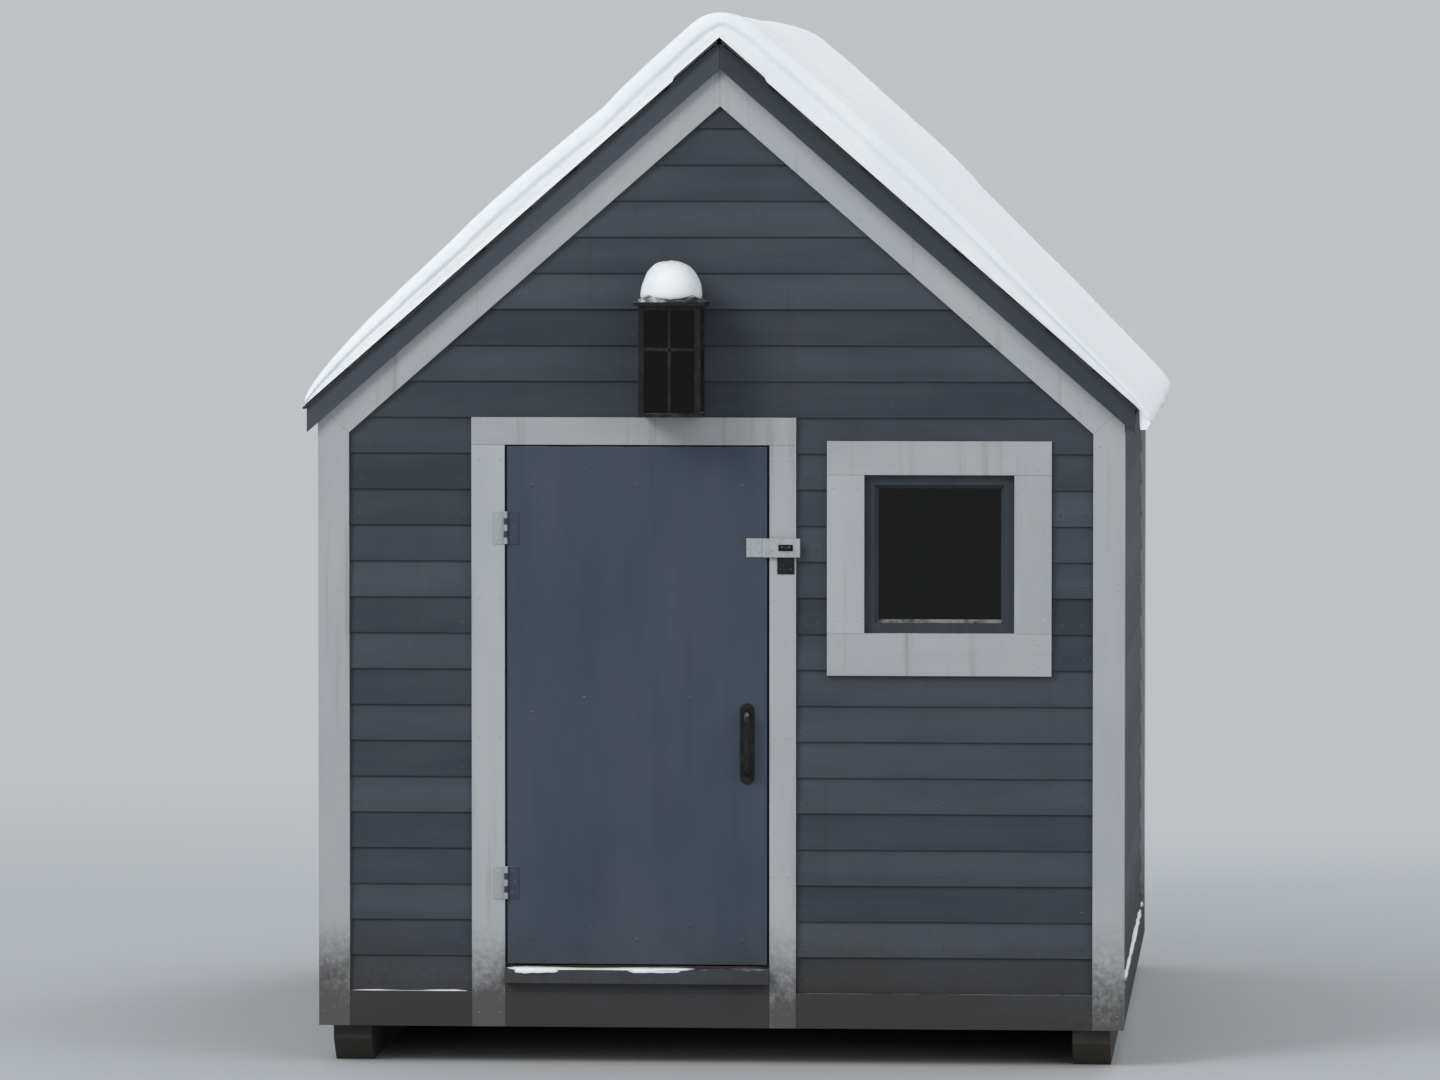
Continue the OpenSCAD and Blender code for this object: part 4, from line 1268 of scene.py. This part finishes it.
def evenly(points, count):
    """Points set evenly along a line through the given points."""
    runs = [(b - a).length for a, b in zip(points, points[1:])]
    total = sum(runs)
    placed = []
    k, gone = 0, 0.0
    for i in range(count + 1):
        want = total * i / count
        while k < len(runs) - 1 and gone + runs[k] < want:
            gone += runs[k]
            k += 1
        placed.append(points[k].lerp(points[k + 1], min(1.0, (want - gone) / runs[k])))
    return placed


def snow_outline():
    """The outline of the snow's gable end, as places across and up."""
    shape = solids_of("roof_snow")[0]
    shape.normal_update()
    end = min(shape.faces, key=lambda f: f.normal.y * f.calc_area())
    outline = [Vector((v.co.x, v.co.z)) for v in end.verts]
    shape.free()
    return outline


def snow_section(whole, side, step):
    """One half of the snow's section, with x outward: the top from the ridge down to the eave's tip,
    the top's outward normals, and the underside from the ridge to the same tip."""
    outline = [Vector((side * p.x, p.y)) for p in whole if side * p.x > -WELD]
    top = max(range(len(outline)), key=lambda i: outline[i].y)
    outline = outline[top:] + outline[:top]
    if outline[1].x < WELD:
        outline = outline[:1] + outline[:0:-1]
    tip = max(range(len(outline)), key=lambda i: outline[i].x * COS - outline[i].y * SIN)
    upper = outline[:tip + 1]
    count = round(sum((b - a).length for a, b in zip(upper, upper[1:])) / step)
    tops = evenly(upper, count)
    unders = evenly(outline[tip:][::-1], count)
    normals = [Vector((0, 1))]
    for a, b in zip(tops, tops[2:] + [tops[-1]]):
        run = (b - a).normalized()
        normals.append(Vector((-run.y, run.x)))
    return tops, normals, unders


class HUT_OT_roof_snow(bpy.types.Operator):
    """Lays settled snow over the roof, rolled over at the gables and thin at the eaves"""

    bl_idname = "hut.roof_snow"
    bl_label = "Roof Snow"

    def execute(self, context):
        low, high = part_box("roof_snow")
        outline = snow_outline()
        sections = [(side, snow_section(outline, side, step=0.016)) for side in (-1, 1)]
        width = sum(len(section[0]) for side, section in sections) - 1
        part = bmesh.new()
        rings = [
            self.ring(part, context.scene.hut_snow.swell, sections, y, drop, end)
            for y, drop, end in self.stations(low.y, high.y, context.scene.hut_snow.roll)]
        skin(part, rings)
        self.close_end(part, rings[0], width, 1)
        self.close_end(part, rings[-1], width, -1)
        make_piece("settled_snow", part, "snow", "root", ["roof_snow"], SNOW_SHARP)
        return {"FINISHED"}

    def stations(self, y0, y1, roll):
        """Places along the ridge, close together where the snow rolls over at each end."""
        steps = 9
        squash = 0.62
        spacing = 0.020
        near = []
        for i in range(steps):
            a = math.pi / 2 * i / steps
            near.append((roll * squash * (1 - math.cos(a)), roll * (1 - math.sin(a))))
        first, last = y0 + near[-1][0], y1 - near[-1][0]
        count = round((last - first) / spacing)
        middle = [(first + (last - first) * i / count, 0.0, 0.0) for i in range(1, count)]
        return ([(y0 + t, drop, 1.0) for t, drop in near] + middle
                + [(y1 - t, drop, 1.0) for t, drop in reversed(near)])

    def lift(self, swell, x, y):
        """How much the snow's top sinks at a place: long drifts, lumps, ripples, dimples and crumbs."""
        drift = wave(x * 1.7, y * 1.3, 3.1)
        lump = wave(x * 3.4, y * 2.8, 6.2)
        ripple = wave(x * 6.1, y * 4.6, 9.4)
        dimple = max(0.0, wave(x * 9.5, y * 9.5, 1.9) - 0.25)
        crumb = wave(x * 30, y * 30, 5.7)
        sink = swell * (0.5 - 0.9 * drift - 0.6 * lump - 0.4 * ripple) + 0.010 * dimple
        return -0.5 * (sink + math.hypot(sink, 0.004)) - 0.0007 * (1 + crumb)

    def retreat(self, side, y):
        """How far the thin edge at an eave draws back up the slope, more on the left."""
        ragged = (0.4 + 0.8 * wave(y * 3.1, side * 4, 1) + 0.5 * wave(y * 11, side * 4, 7)
                  + 0.2 * wave(y * 37, side * 4, 9))
        return (0.010 if side > 0 else 0.024) * min(1.3, max(0.0, ragged))

    def ring(self, part, swell, sections, y, drop, end):
        """One section of the snow: the top from left to right, then the underside back.

        On the left the underside draws back with the top, on the right it stays as a lip."""
        upper, lower = [], []
        for side, (tops, normals, unders) in sections:
            third = len(tops) // 3
            full = max((p - q).length for p, q in zip(tops[third:], unders[third:]))
            retreat = self.retreat(side, y)
            line, base = [], []
            for p, normal, under in zip(tops, normals, unders):
                share = min(1.0, (p - under).length / full)
                up = (self.lift(swell, side * p.x, y) - drop) * share
                back = -retreat * (1 - share) ** 2
                stray = 0.0022 * (1 + wave(side * p.x * 7, p.y * 7, y)) * end
                x, z = p.x + normal.x * up + COS * back, p.y + normal.y * up - SIN * back
                line.append((side * x, y + math.copysign(stray, MID_Y - y), z))
                slide = 0.0 if side > 0 else back
                base.append((side * (under.x + COS * slide), y, under.y - SIN * slide))
            upper.append(line)
            lower.append(base)
        points = upper[0][::-1] + upper[1][1:] + lower[1][::-1][1:] + lower[0][1:-1]
        return ring_of(part, points)

    def close_end(self, part, ring, width, inward):
        """The face of the snow at a gable end, in thin layers between the top and the underside."""
        top = ring[:width]
        under = [top[0]] + ring[width:][::-1] + [top[-1]]
        rows = [top]
        layers = 8
        for k in range(1, layers):
            row = [top[0]]
            for i in range(1, width - 1):
                p = top[i].co.lerp(under[i].co, k / layers)
                layer = wave(p.x * 2.2, k * 0.9, 2.0 + inward)
                rough = wave(p.x * 13, p.z * 13, 2.0 + inward)
                fine = wave(p.x * 48, p.z * 48, 4.0 + inward)
                p.y += inward * (0.0045 + 0.0020 * layer + 0.0016 * rough + 0.0009 * fine)
                row.append(part.verts.new(p))
            row.append(top[-1])
            rows.append(row)
        rows.append(under)
        for a, b in zip(rows, rows[1:]):
            for i in range(width - 1):
                corners = [a[i], a[i + 1], b[i + 1], b[i]]
                face = [v for n, v in enumerate(corners) if v not in corners[:n]]
                if len(face) > 2:
                    part.faces.new(face)


class HUT_OT_lantern_snow(bpy.types.Operator):
    """Heaps a rounded cap of snow on the lantern"""

    bl_idname = "hut.lantern_snow"
    bl_label = "Lantern Snow"

    def execute(self, context):
        part = bmesh.new()
        rings = self.heap(part)
        self.underside(part, rings[0])
        make_piece("lantern_snow_cap", part, "snow", "root", ["lantern_snow"], SNOW_SHARP)
        return {"FINISHED"}

    def heap(self, part):
        """The rounded heap from its drawn-in foot to its tip."""
        low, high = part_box("lantern_snow")
        centre = (low + high) / 2
        half = (high.x - low.x) / 2
        sides, levels = 72, 18
        foot = 0.09
        foot_widths = 0.955, 0.985, 1.0
        foot_heights = 0.01, foot * 0.55, foot
        rings = []
        for k in range(levels):
            step = min(k, 2)
            a = math.pi / 2 * (k - step) / (levels - 2)
            shrink = math.cos(a) ** 0.80 * foot_widths[step]
            z = low.z + (high.z - low.z) * (foot_heights[step] + (1 - foot) * math.sin(a))
            ring = []
            for i in range(sides):
                x, y = (half * shrink * t for t in around(i, sides))
                sink = 0.0030 * (1 + wave(x * 15, y * 15, z * 15))
                sink += 0.0010 * (1 + wave(x * 55, y * 55, z * 55))
                grow = 1 - sink / max(half * shrink, 0.03)
                ring.append((centre.x + x * grow, centre.y + y * grow, z - sink * math.sin(a)))
            rings.append(ring_of(part, ring))
        skin(part, rings)
        fan(part, rings[-1], (centre.x, centre.y, high.z - 0.0035))
        return rings

    def underside(self, part, foot):
        """The underside, which lies on the four slopes of the lantern's cap."""
        low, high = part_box("lantern_snow")
        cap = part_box("lantern")
        centre = (low + high) / 2
        peak = cap[1].z + 0.0004
        slope = (peak - low.z) / ((cap[1].x - cap[0].x) / 2)
        rings = [foot]
        for share in (0.80, 0.4):
            ring = []
            for v in foot:
                x, y = (v.co.x - centre.x) * share, (v.co.y - centre.y) * share
                ring.append((centre.x + x, centre.y + y, peak - slope * max(abs(x), abs(y))))
            rings.append(ring_of(part, ring))
        skin(part, rings[::-1])
        fan(part, rings[-1], (centre.x, centre.y, peak))


def snow_strips(total, start, along, out, length, depth, height, seed, droop=0.0):
    """Broken strips of thin snow on a ledge: each lies on the ledge and leans on the wall behind it."""
    step = 0.009
    bare = 0.12
    shortest = 5
    amounts = []
    for i in range(int(length / step) + 1):
        s = i * step
        heaped = wave(s * 2.3, seed, 0.5) * 0.6 + wave(s * 9, seed, 4.5) * 0.4
        amounts.append(max(0.0, min(1.0, 0.62 + 1.5 * heaped)))
    run = []
    for i, amount in enumerate(amounts + [0.0]):
        if amount > bare:
            run.append((i * step, amount))
            continue
        if len(run) >= shortest:
            one_strip(total, start, along, out, depth, height, run, seed, droop)
        run = []


def one_strip(total, start, along, out, depth, height, run, seed, droop):
    """One strip of ledge snow with tapered ends, its front hanging down by the droop."""
    rings = []
    last = len(run) - 1
    for i, (s, amount) in enumerate(run):
        taper = math.sin(math.pi / 2 * min(1.0, (min(i, last - i) + 0.35) / 4))
        rough = 1 + 0.22 * wave(s * 55, seed, 8.8)
        h = max(0.0008, height * amount * taper * rough)
        w = max(0.001, depth * (0.45 + 0.55 * amount) * taper)
        hang = droop * amount * taper * rough
        section = (
            (0.0, 0.0), (w, -hang), (w * 1.03, h * 0.3 - hang * 0.6), (w * 0.9, h * 0.68),
            (w * 0.5, h * 0.93), (0.0, h))
        rings.append(ring_of(total, [start + along * s + out * d + UP * z for d, z in section]))
    tube(total, rings)


class HUT_OT_ledge_snow(bpy.types.Operator):
    """Leaves thin broken snow on the skirt boards and the door sill"""

    bl_idname = "hut.ledge_snow"
    bl_label = "Ledge Snow"

    def execute(self, context):
        total = bmesh.new()
        self.on_skirts(total, context.scene.hut_snow.ledge)
        self.on_sill(total)
        make_piece("ledge_snow", total, "snow", "root", sharp=math.radians(60))
        return {"FINISHED"}

    def on_skirts(self, total, height):
        """Snow on the skirt boards: left of the door, along the back and along both sides."""
        tuck = LAP_T - 0.0022
        ledge = WALL_FRONT_Y - TRIM_FRONT_Y - tuck
        z = SKIRT_Z + 0.0003
        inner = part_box("front_siding")[1].x
        beside_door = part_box("door_casing")[0].x + inner
        low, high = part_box("right_siding")
        depth = high.y - low.y
        runs = (
            (Vector((-inner, WALL_FRONT_Y - tuck, z)), RIGHT, FRONT, beside_door, 0.4),
            (Vector((-inner, WALL_BACK_Y + tuck, z)), RIGHT, BACK, 2 * inner, 0.8),
            (Vector((WALL_X + tuck, low.y, z)), BACK, RIGHT, depth, 1.0),
            (Vector((-WALL_X - tuck, low.y, z)), BACK, -RIGHT, depth, 0.8),
        )
        for seed, (start, along, out, length, share) in enumerate(runs, start=1):
            snow_strips(total, start, along, out, length, ledge, height * share, seed * 3.7)

    def on_sill(self, total):
        """Snow on the door sill, in front of and under the leaf, clear of its swing."""
        sill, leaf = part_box("door_sill"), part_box("door_panel")
        start = Vector((sill[0].x + 0.004, leaf[0].y + 0.004, sill[1].z - 0.0022))
        room = leaf[0].z - sill[1].z - 0.005
        length = 0.72 * (sill[1].x - sill[0].x)
        snow_strips(
            total, start, RIGHT, FRONT, length, depth=0.032, height=room, seed=24.07, droop=0.010)


# The window, the door and the hardware, with how far the plates stand out

THIN_PLATE = 0.0021
THICK_PLATE = 0.0031


class HUT_OT_window(bpy.types.Operator):
    """Finishes the sash, beds the pane in putty and glazes it"""

    bl_idname = "hut.window"
    bl_label = "Window"

    def execute(self, context):
        dress_nodes(("window_sash",), arris=0.001, seed=9)
        refinish("window_glass")
        total = bmesh.new()
        self.putty(total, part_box("window_glass")[0].y)
        mark_all(total, 0.35)
        make_piece("window_putty", total, "slate_paint", "root")
        return {"FINISHED"}

    def putty(self, total, pane_y):
        """A mitred fillet of putty round the pane, from the glass out to the sash."""
        low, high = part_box("window_sash")
        bar = 0.0235
        rings = []
        for inset, y in ((bar, pane_y), (bar + 0.008, pane_y), (bar + 0.0005, pane_y - 0.009)):
            x0, x1, z0, z1 = low.x + inset, high.x - inset, low.z + inset, high.z - inset
            rings.append(ring_of(total, [(x0, y, z0), (x1, y, z0), (x1, y, z1), (x0, y, z1)]))
        skin(total, [rings[0], rings[1], rings[2], rings[0]])


class HUT_OT_door(bpy.types.Operator):
    """Finishes the door leaf with its ledges and screws"""

    bl_idname = "hut.door"
    bl_label = "Door"

    def execute(self, context):
        arris = context.scene.hut_boards.arris
        dress_nodes(("door_panel",), arris, seed=13)
        dress_nodes(("door_ledges",), arris, seed=14)
        leaf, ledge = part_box("door_panel"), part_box("door_ledges")
        ledge_width, inset, stagger = 0.089, 0.035, 0.018
        middle = (leaf[0].z + leaf[1].z) / 2
        run = ledge[1].x - ledge[0].x - 2 * inset
        places = []
        for z in (ledge[0].z + ledge_width / 2, middle, ledge[1].z - ledge_width / 2):
            for i in range(5):
                places.append((ledge[0].x + inset + run * i / 4, z + (stagger if i % 2 else -stagger)))
        screws("door_screws", "door_panel", places, leaf[0].y - 0.0002, radius=0.0042, seed=15)
        return {"FINISHED"}


def screws(name, node, places, y, radius, seed=17):
    """Screws in a face that looks to the front, in the finish of the node that they hold."""
    rng = random.Random(seed)
    heads = bmesh.new()
    for x, z in places:
        screw(heads, Vector((x, y, z)), radius, rng.uniform(0, 90))
    mark_all(heads)
    make_piece(name, heads, SLOT_OF[node], BODY_OF[node])


class HUT_OT_hardware(bpy.types.Operator):
    """Finishes the hinges, the pull, the hasp and its staple, and screws them on"""

    bl_idname = "hut.hardware"
    bl_label = "Door Hardware"

    def execute(self, context):
        for node in ("door_hinges", "door_hinge_leaves", "door_pull", "door_hasp", "hasp_staple"):
            refinish(node)
        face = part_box("door_panel")[0].y
        self.hinge_screws(face - THIN_PLATE)
        self.pull_screws(face - THICK_PLATE)
        self.hasp_screws(face - THIN_PLATE)
        self.staple_screws(TRIM_FRONT_Y - THIN_PLATE)
        return {"FINISHED"}

    def hinge_screws(self, y):
        """Three screws down each hinge plate and each leaf."""
        hinge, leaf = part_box("door_hinges"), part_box("door_hinge_leaves")
        height, inset, stagger = 0.076, 0.013, 0.003
        for name, node, x in (("hinge_screws", "door_hinges", hinge[0].x + inset),
                              ("hinge_leaf_screws", "door_hinge_leaves", leaf[1].x - inset)):
            places = [(x + (stagger if i == 1 else -stagger), z0 + height * (i + 0.5) / 3)
                      for z0 in (hinge[0].z, hinge[1].z - height) for i in range(3)]
            screws(name, node, places, y, radius=0.0038)

    def pull_screws(self, y):
        """A screw at each end of the pull's plate."""
        low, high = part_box("door_pull")
        middle = (low + high) / 2
        reach = (high.z - low.z) / 2 - 0.011
        places = [(middle.x, middle.z + side * reach) for side in (-1, 1)]
        screws("pull_screws", "door_pull", places, y, radius=0.0040)

    def hasp_screws(self, y):
        """Four screws in the hasp's fixed leaf."""
        low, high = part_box("door_hasp")
        middle_z = (low.z + high.z) / 2
        places = [(low.x + dx, middle_z + dz) for dx in (0.009, 0.027) for dz in (-0.012, 0.012)]
        screws("hasp_screws", "door_hasp", places, y, radius=0.0036)

    def staple_screws(self, y):
        """A screw in each corner of the staple's plate."""
        low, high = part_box("hasp_staple")
        places = [(low.x + dx, z) for dx in (0.008, high.x - low.x - 0.008)
                  for z in (low.z + 0.009, high.z - 0.009)]
        screws("staple_screws", "hasp_staple", places, y, radius=0.0036)


class HUT_OT_lantern(bpy.types.Operator):
    """Finishes the lantern with glazing bars and a lamp"""

    bl_idname = "hut.lantern"
    bl_label = "Lantern"

    def execute(self, context):
        dress_nodes(("lantern",), arris=0.0012, seed=19)
        refinish("lantern_glass")
        low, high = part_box("lantern_glass")
        bars = bmesh.new()
        for turn in range(4):
            spin = Matrix.Rotation(math.pi / 2 * turn, 4, "Z")
            self.bars_on_pane(bars, low, high, spin)
        make_piece("lantern_bars", bars, "black_metal", "root")
        self.lamp((low + high) / 2, low.z)
        return {"FINISHED"}

    def bars_on_pane(self, total, low, high, spin):
        """A thin upright and a cross bar over one pane."""
        centre = (low + high) / 2
        half = (high.x - low.x) / 2
        width, depth = 0.0035, 0.003
        upright_size = width, depth, (high.z - low.z) / 2
        cross_size = half - 0.006, depth, width
        cross_lift = 0.028
        for size, lift in ((upright_size, 0.0), (cross_size, cross_lift)):
            part = bmesh.new()
            bmesh.ops.create_cube(part, size=2)
            bmesh.ops.bevel(
                part, geom=part.edges[:], offset=0.25, segments=2, affect="EDGES", profile=0.6)
            for v in part.verts:
                x, y, z = (a * b for a, b in zip(v.co, size))
                v.co = centre + spin @ Vector((x, y - half - 0.0005, z + lift))
            gather(total, part)

    def lamp(self, centre, floor_z):
        """A lamp holder with a candle-shaped lamp."""
        top, bulge_z, tip = 0.055, 0.064, 0.122
        holder = (
            (0.000, 0.000), (0.021, 0.000), (0.021, 0.006), (0.014, 0.009), (0.014, 0.052),
            (0.012, top), (0.000, top))
        self.lathe("lamp_holder", "black_metal", holder, centre, floor_z)
        flame = [(0.0, top), (0.010, top), (0.0105, bulge_z)]
        steps = 12
        for i in range(1, steps):
            t = i / steps
            radius = 0.0175 * math.sin(math.pi * (0.22 + 0.78 * t)) ** 0.8
            flame.append((radius, bulge_z + (tip - bulge_z) * t))
        flame.append((0.0, tip))
        self.lathe("lamp", "lantern_glass", flame, centre, floor_z)

    def lathe(self, name, slot, profile, centre, floor_z):
        """A turned piece from its profile."""
        part = bmesh.new()
        sides = 24
        rings = []
        for radius, z in profile:
            ring = []
            for i in range(sides):
                x, y = (max(radius, 0.0001) * t for t in around(i, sides))
                ring.append((centre.x + x, centre.y + y, floor_z + z))
            rings.append(ring_of(part, ring))
        tube(part, rings)
        bmesh.ops.remove_doubles(part, verts=part.verts[:], dist=WELD * 4)
        make_piece(name, part, slot, "root")


# The stage

LAMPS = {
    "key": ((-6.5, -8.5, 7.5), 5.0, 520),
    "fill": ((8.0, -7.5, 3.5), 6.0, 150),
    "rim": ((3.5, 9.0, 7.5), 5.0, 260),
}
LAMP_AIM = Vector((0.0, 0.0, 1.1))


def directly_seen(tree):
    """1 for rays from the camera, straight or by way of a gloss or glass, otherwise 0."""
    path = add_node(tree, "ShaderNodeLightPath").outputs
    seen = maths(tree, "MAXIMUM", path["Is Camera Ray"], path["Is Glossy Ray"])
    return maths(tree, "MAXIMUM", seen, path["Is Transmission Ray"])


def mix_shaders(tree, share, first, second, output):
    """Mixes two shaders into the tree's output."""
    mixed = add_node(tree, "ShaderNodeMixShader", {0: share, 1: first, 2: second}).outputs[0]
    add_node(tree, output, {"Surface": mixed})


def ground_material(colour):
    """A pale floor that fades into the background far from the hut."""
    made = bpy.data.materials.new("ground")
    made.use_nodes = True
    tree = made.node_tree
    tree.nodes.clear()
    place = add_node(tree, "ShaderNodeTexCoord").outputs["Object"]
    away = add_node(tree, "ShaderNodeVectorMath", {0: place}, operation="LENGTH").outputs["Value"]
    far = spread(tree, away, low=3.2, high=9.0)
    share = maths(tree, "MULTIPLY", far, directly_seen(tree))
    matte = add_node(tree, "ShaderNodeBsdfDiffuse", {"Color": rgba(colour)}).outputs[0]
    glow = add_node(tree, "ShaderNodeEmission", {"Color": rgba(colour), "Strength": 1.0}).outputs[0]
    mix_shaders(tree, share, matte, glow, "ShaderNodeOutputMaterial")
    return made


def sky_world(colour, strength):
    """Even light, with the plain background colour where the camera sees it."""
    world = bpy.data.worlds.new("sky")
    bpy.context.scene.world = world
    world.use_nodes = True
    tree = world.node_tree
    tree.nodes.clear()
    light = add_node(
        tree, "ShaderNodeBackground", {"Color": SKY_LIGHT, "Strength": strength}).outputs[0]
    plain = add_node(tree, "ShaderNodeBackground", {"Color": rgba(colour), "Strength": 1.0}).outputs[0]
    mix_shaders(tree, directly_seen(tree), light, plain, "ShaderNodeOutputWorld")


def soft_lamp(name, place, size, power):
    """A large soft lamp aimed at the middle of the hut."""
    data = bpy.data.lights.new(name, "AREA")
    data.shape = "DISK"
    data.size = size
    data.energy = power
    made = bpy.data.objects.new(name, data)
    bpy.context.scene.collection.objects.link(made)
    made.location = place
    made.rotation_euler = (LAMP_AIM - Vector(place)).to_track_quat("-Z", "Y").to_euler()


class HUT_OT_stage(bpy.types.Operator):
    """Sets the camera at the photograph's angle, the soft light and the pale ground"""

    bl_idname = "hut.stage"
    bl_label = "Stage"

    def execute(self, context):
        stage = context.scene.hut_stage
        context.scene.view_settings.view_transform = "Standard"
        self.set_camera(context.scene, stage)
        sky_world(stage.ground, stage.sky)
        for name, (place, size, power) in LAMPS.items():
            soft_lamp(name, place, size, power)
        self.lay_ground(context.scene, stage)
        return {"FINISHED"}

    def set_camera(self, scene, stage):
        """The camera, aimed at the middle of the hut's front."""
        middle = Vector((0.0, TRIM_FRONT_Y, (CAD_LOW.z + CAD_HIGH.z) / 2))
        back = Vector((math.sin(stage.azimuth), -math.cos(stage.azimuth), 0)) * stage.distance
        data = bpy.data.cameras.new("camera")
        data.lens = stage.lens
        data.sensor_width = 36
        data.clip_end = 500
        camera = bpy.data.objects.new("camera", data)
        scene.collection.objects.link(camera)
        camera.location = Vector((middle.x + back.x, middle.y + back.y, stage.height))
        camera.rotation_euler = (middle - camera.location).to_track_quat("-Z", "Y").to_euler()
        scene.camera = camera

    def lay_ground(self, scene, stage):
        """A wide flat ground under the hut."""
        sheet = bmesh.new()
        bmesh.ops.create_circle(sheet, cap_ends=True, segments=96, radius=160)
        mesh = bpy.data.meshes.new("ground")
        sheet.to_mesh(mesh)
        sheet.free()
        mesh.materials.append(ground_material(stage.ground))
        ground = bpy.data.objects.new("ground", mesh)
        scene.collection.objects.link(ground)


class HUT_PT_panel(bpy.types.Panel):
    """Lists the steps that finish the hut"""

    bl_idname = "HUT_PT_panel"
    bl_label = "Ice Fishing Hut"
    bl_space_type = "VIEW_3D"
    bl_region_type = "UI"
    bl_category = "Hut"

    def draw(self, context):
        for step in STEPS:
            self.layout.operator(step.bl_idname)
        for settings in ("hut_colours", "hut_boards", "hut_snow", "hut_stage"):
            box = self.layout.box()
            values = getattr(context.scene, settings)
            for name in type(values).__annotations__:
                box.prop(values, name)


SETTINGS = {
    "hut_colours": HutColours,
    "hut_boards": HutBoards,
    "hut_snow": HutSnow,
    "hut_stage": HutStage,
}
STEPS = (
    HUT_OT_stage, HUT_OT_timber, HUT_OT_sheathing, HUT_OT_siding, HUT_OT_trim, HUT_OT_shingles,
    HUT_OT_window, HUT_OT_door, HUT_OT_hardware, HUT_OT_lantern, HUT_OT_roof_snow,
    HUT_OT_lantern_snow, HUT_OT_ledge_snow,
)


def register():
    """Registers the settings, the steps and the panel."""
    for name, kind in SETTINGS.items():
        bpy.utils.register_class(kind)
        setattr(bpy.types.Scene, name, PointerProperty(type=kind))
    for kind in (*STEPS, HUT_PT_panel):
        bpy.utils.register_class(kind)


def unregister():
    """Takes the panel, the steps and the settings away again."""
    for kind in reversed((*STEPS, HUT_PT_panel)):
        bpy.utils.unregister_class(kind)
    for name, kind in reversed(SETTINGS.items()):
        delattr(bpy.types.Scene, name)
        bpy.utils.unregister_class(kind)


def main():
    """Finishes the hut step by step."""
    register()
    bpy.ops.hut.stage()
    bpy.ops.hut.timber()
    bpy.ops.hut.sheathing()
    bpy.ops.hut.siding()
    bpy.ops.hut.trim()
    bpy.ops.hut.shingles()
    bpy.ops.hut.window()
    bpy.ops.hut.door()
    bpy.ops.hut.hardware()
    bpy.ops.hut.lantern()
    bpy.ops.hut.roof_snow()
    bpy.ops.hut.lantern_snow()
    bpy.ops.hut.ledge_snow()


if __name__ == "__main__":
    main()
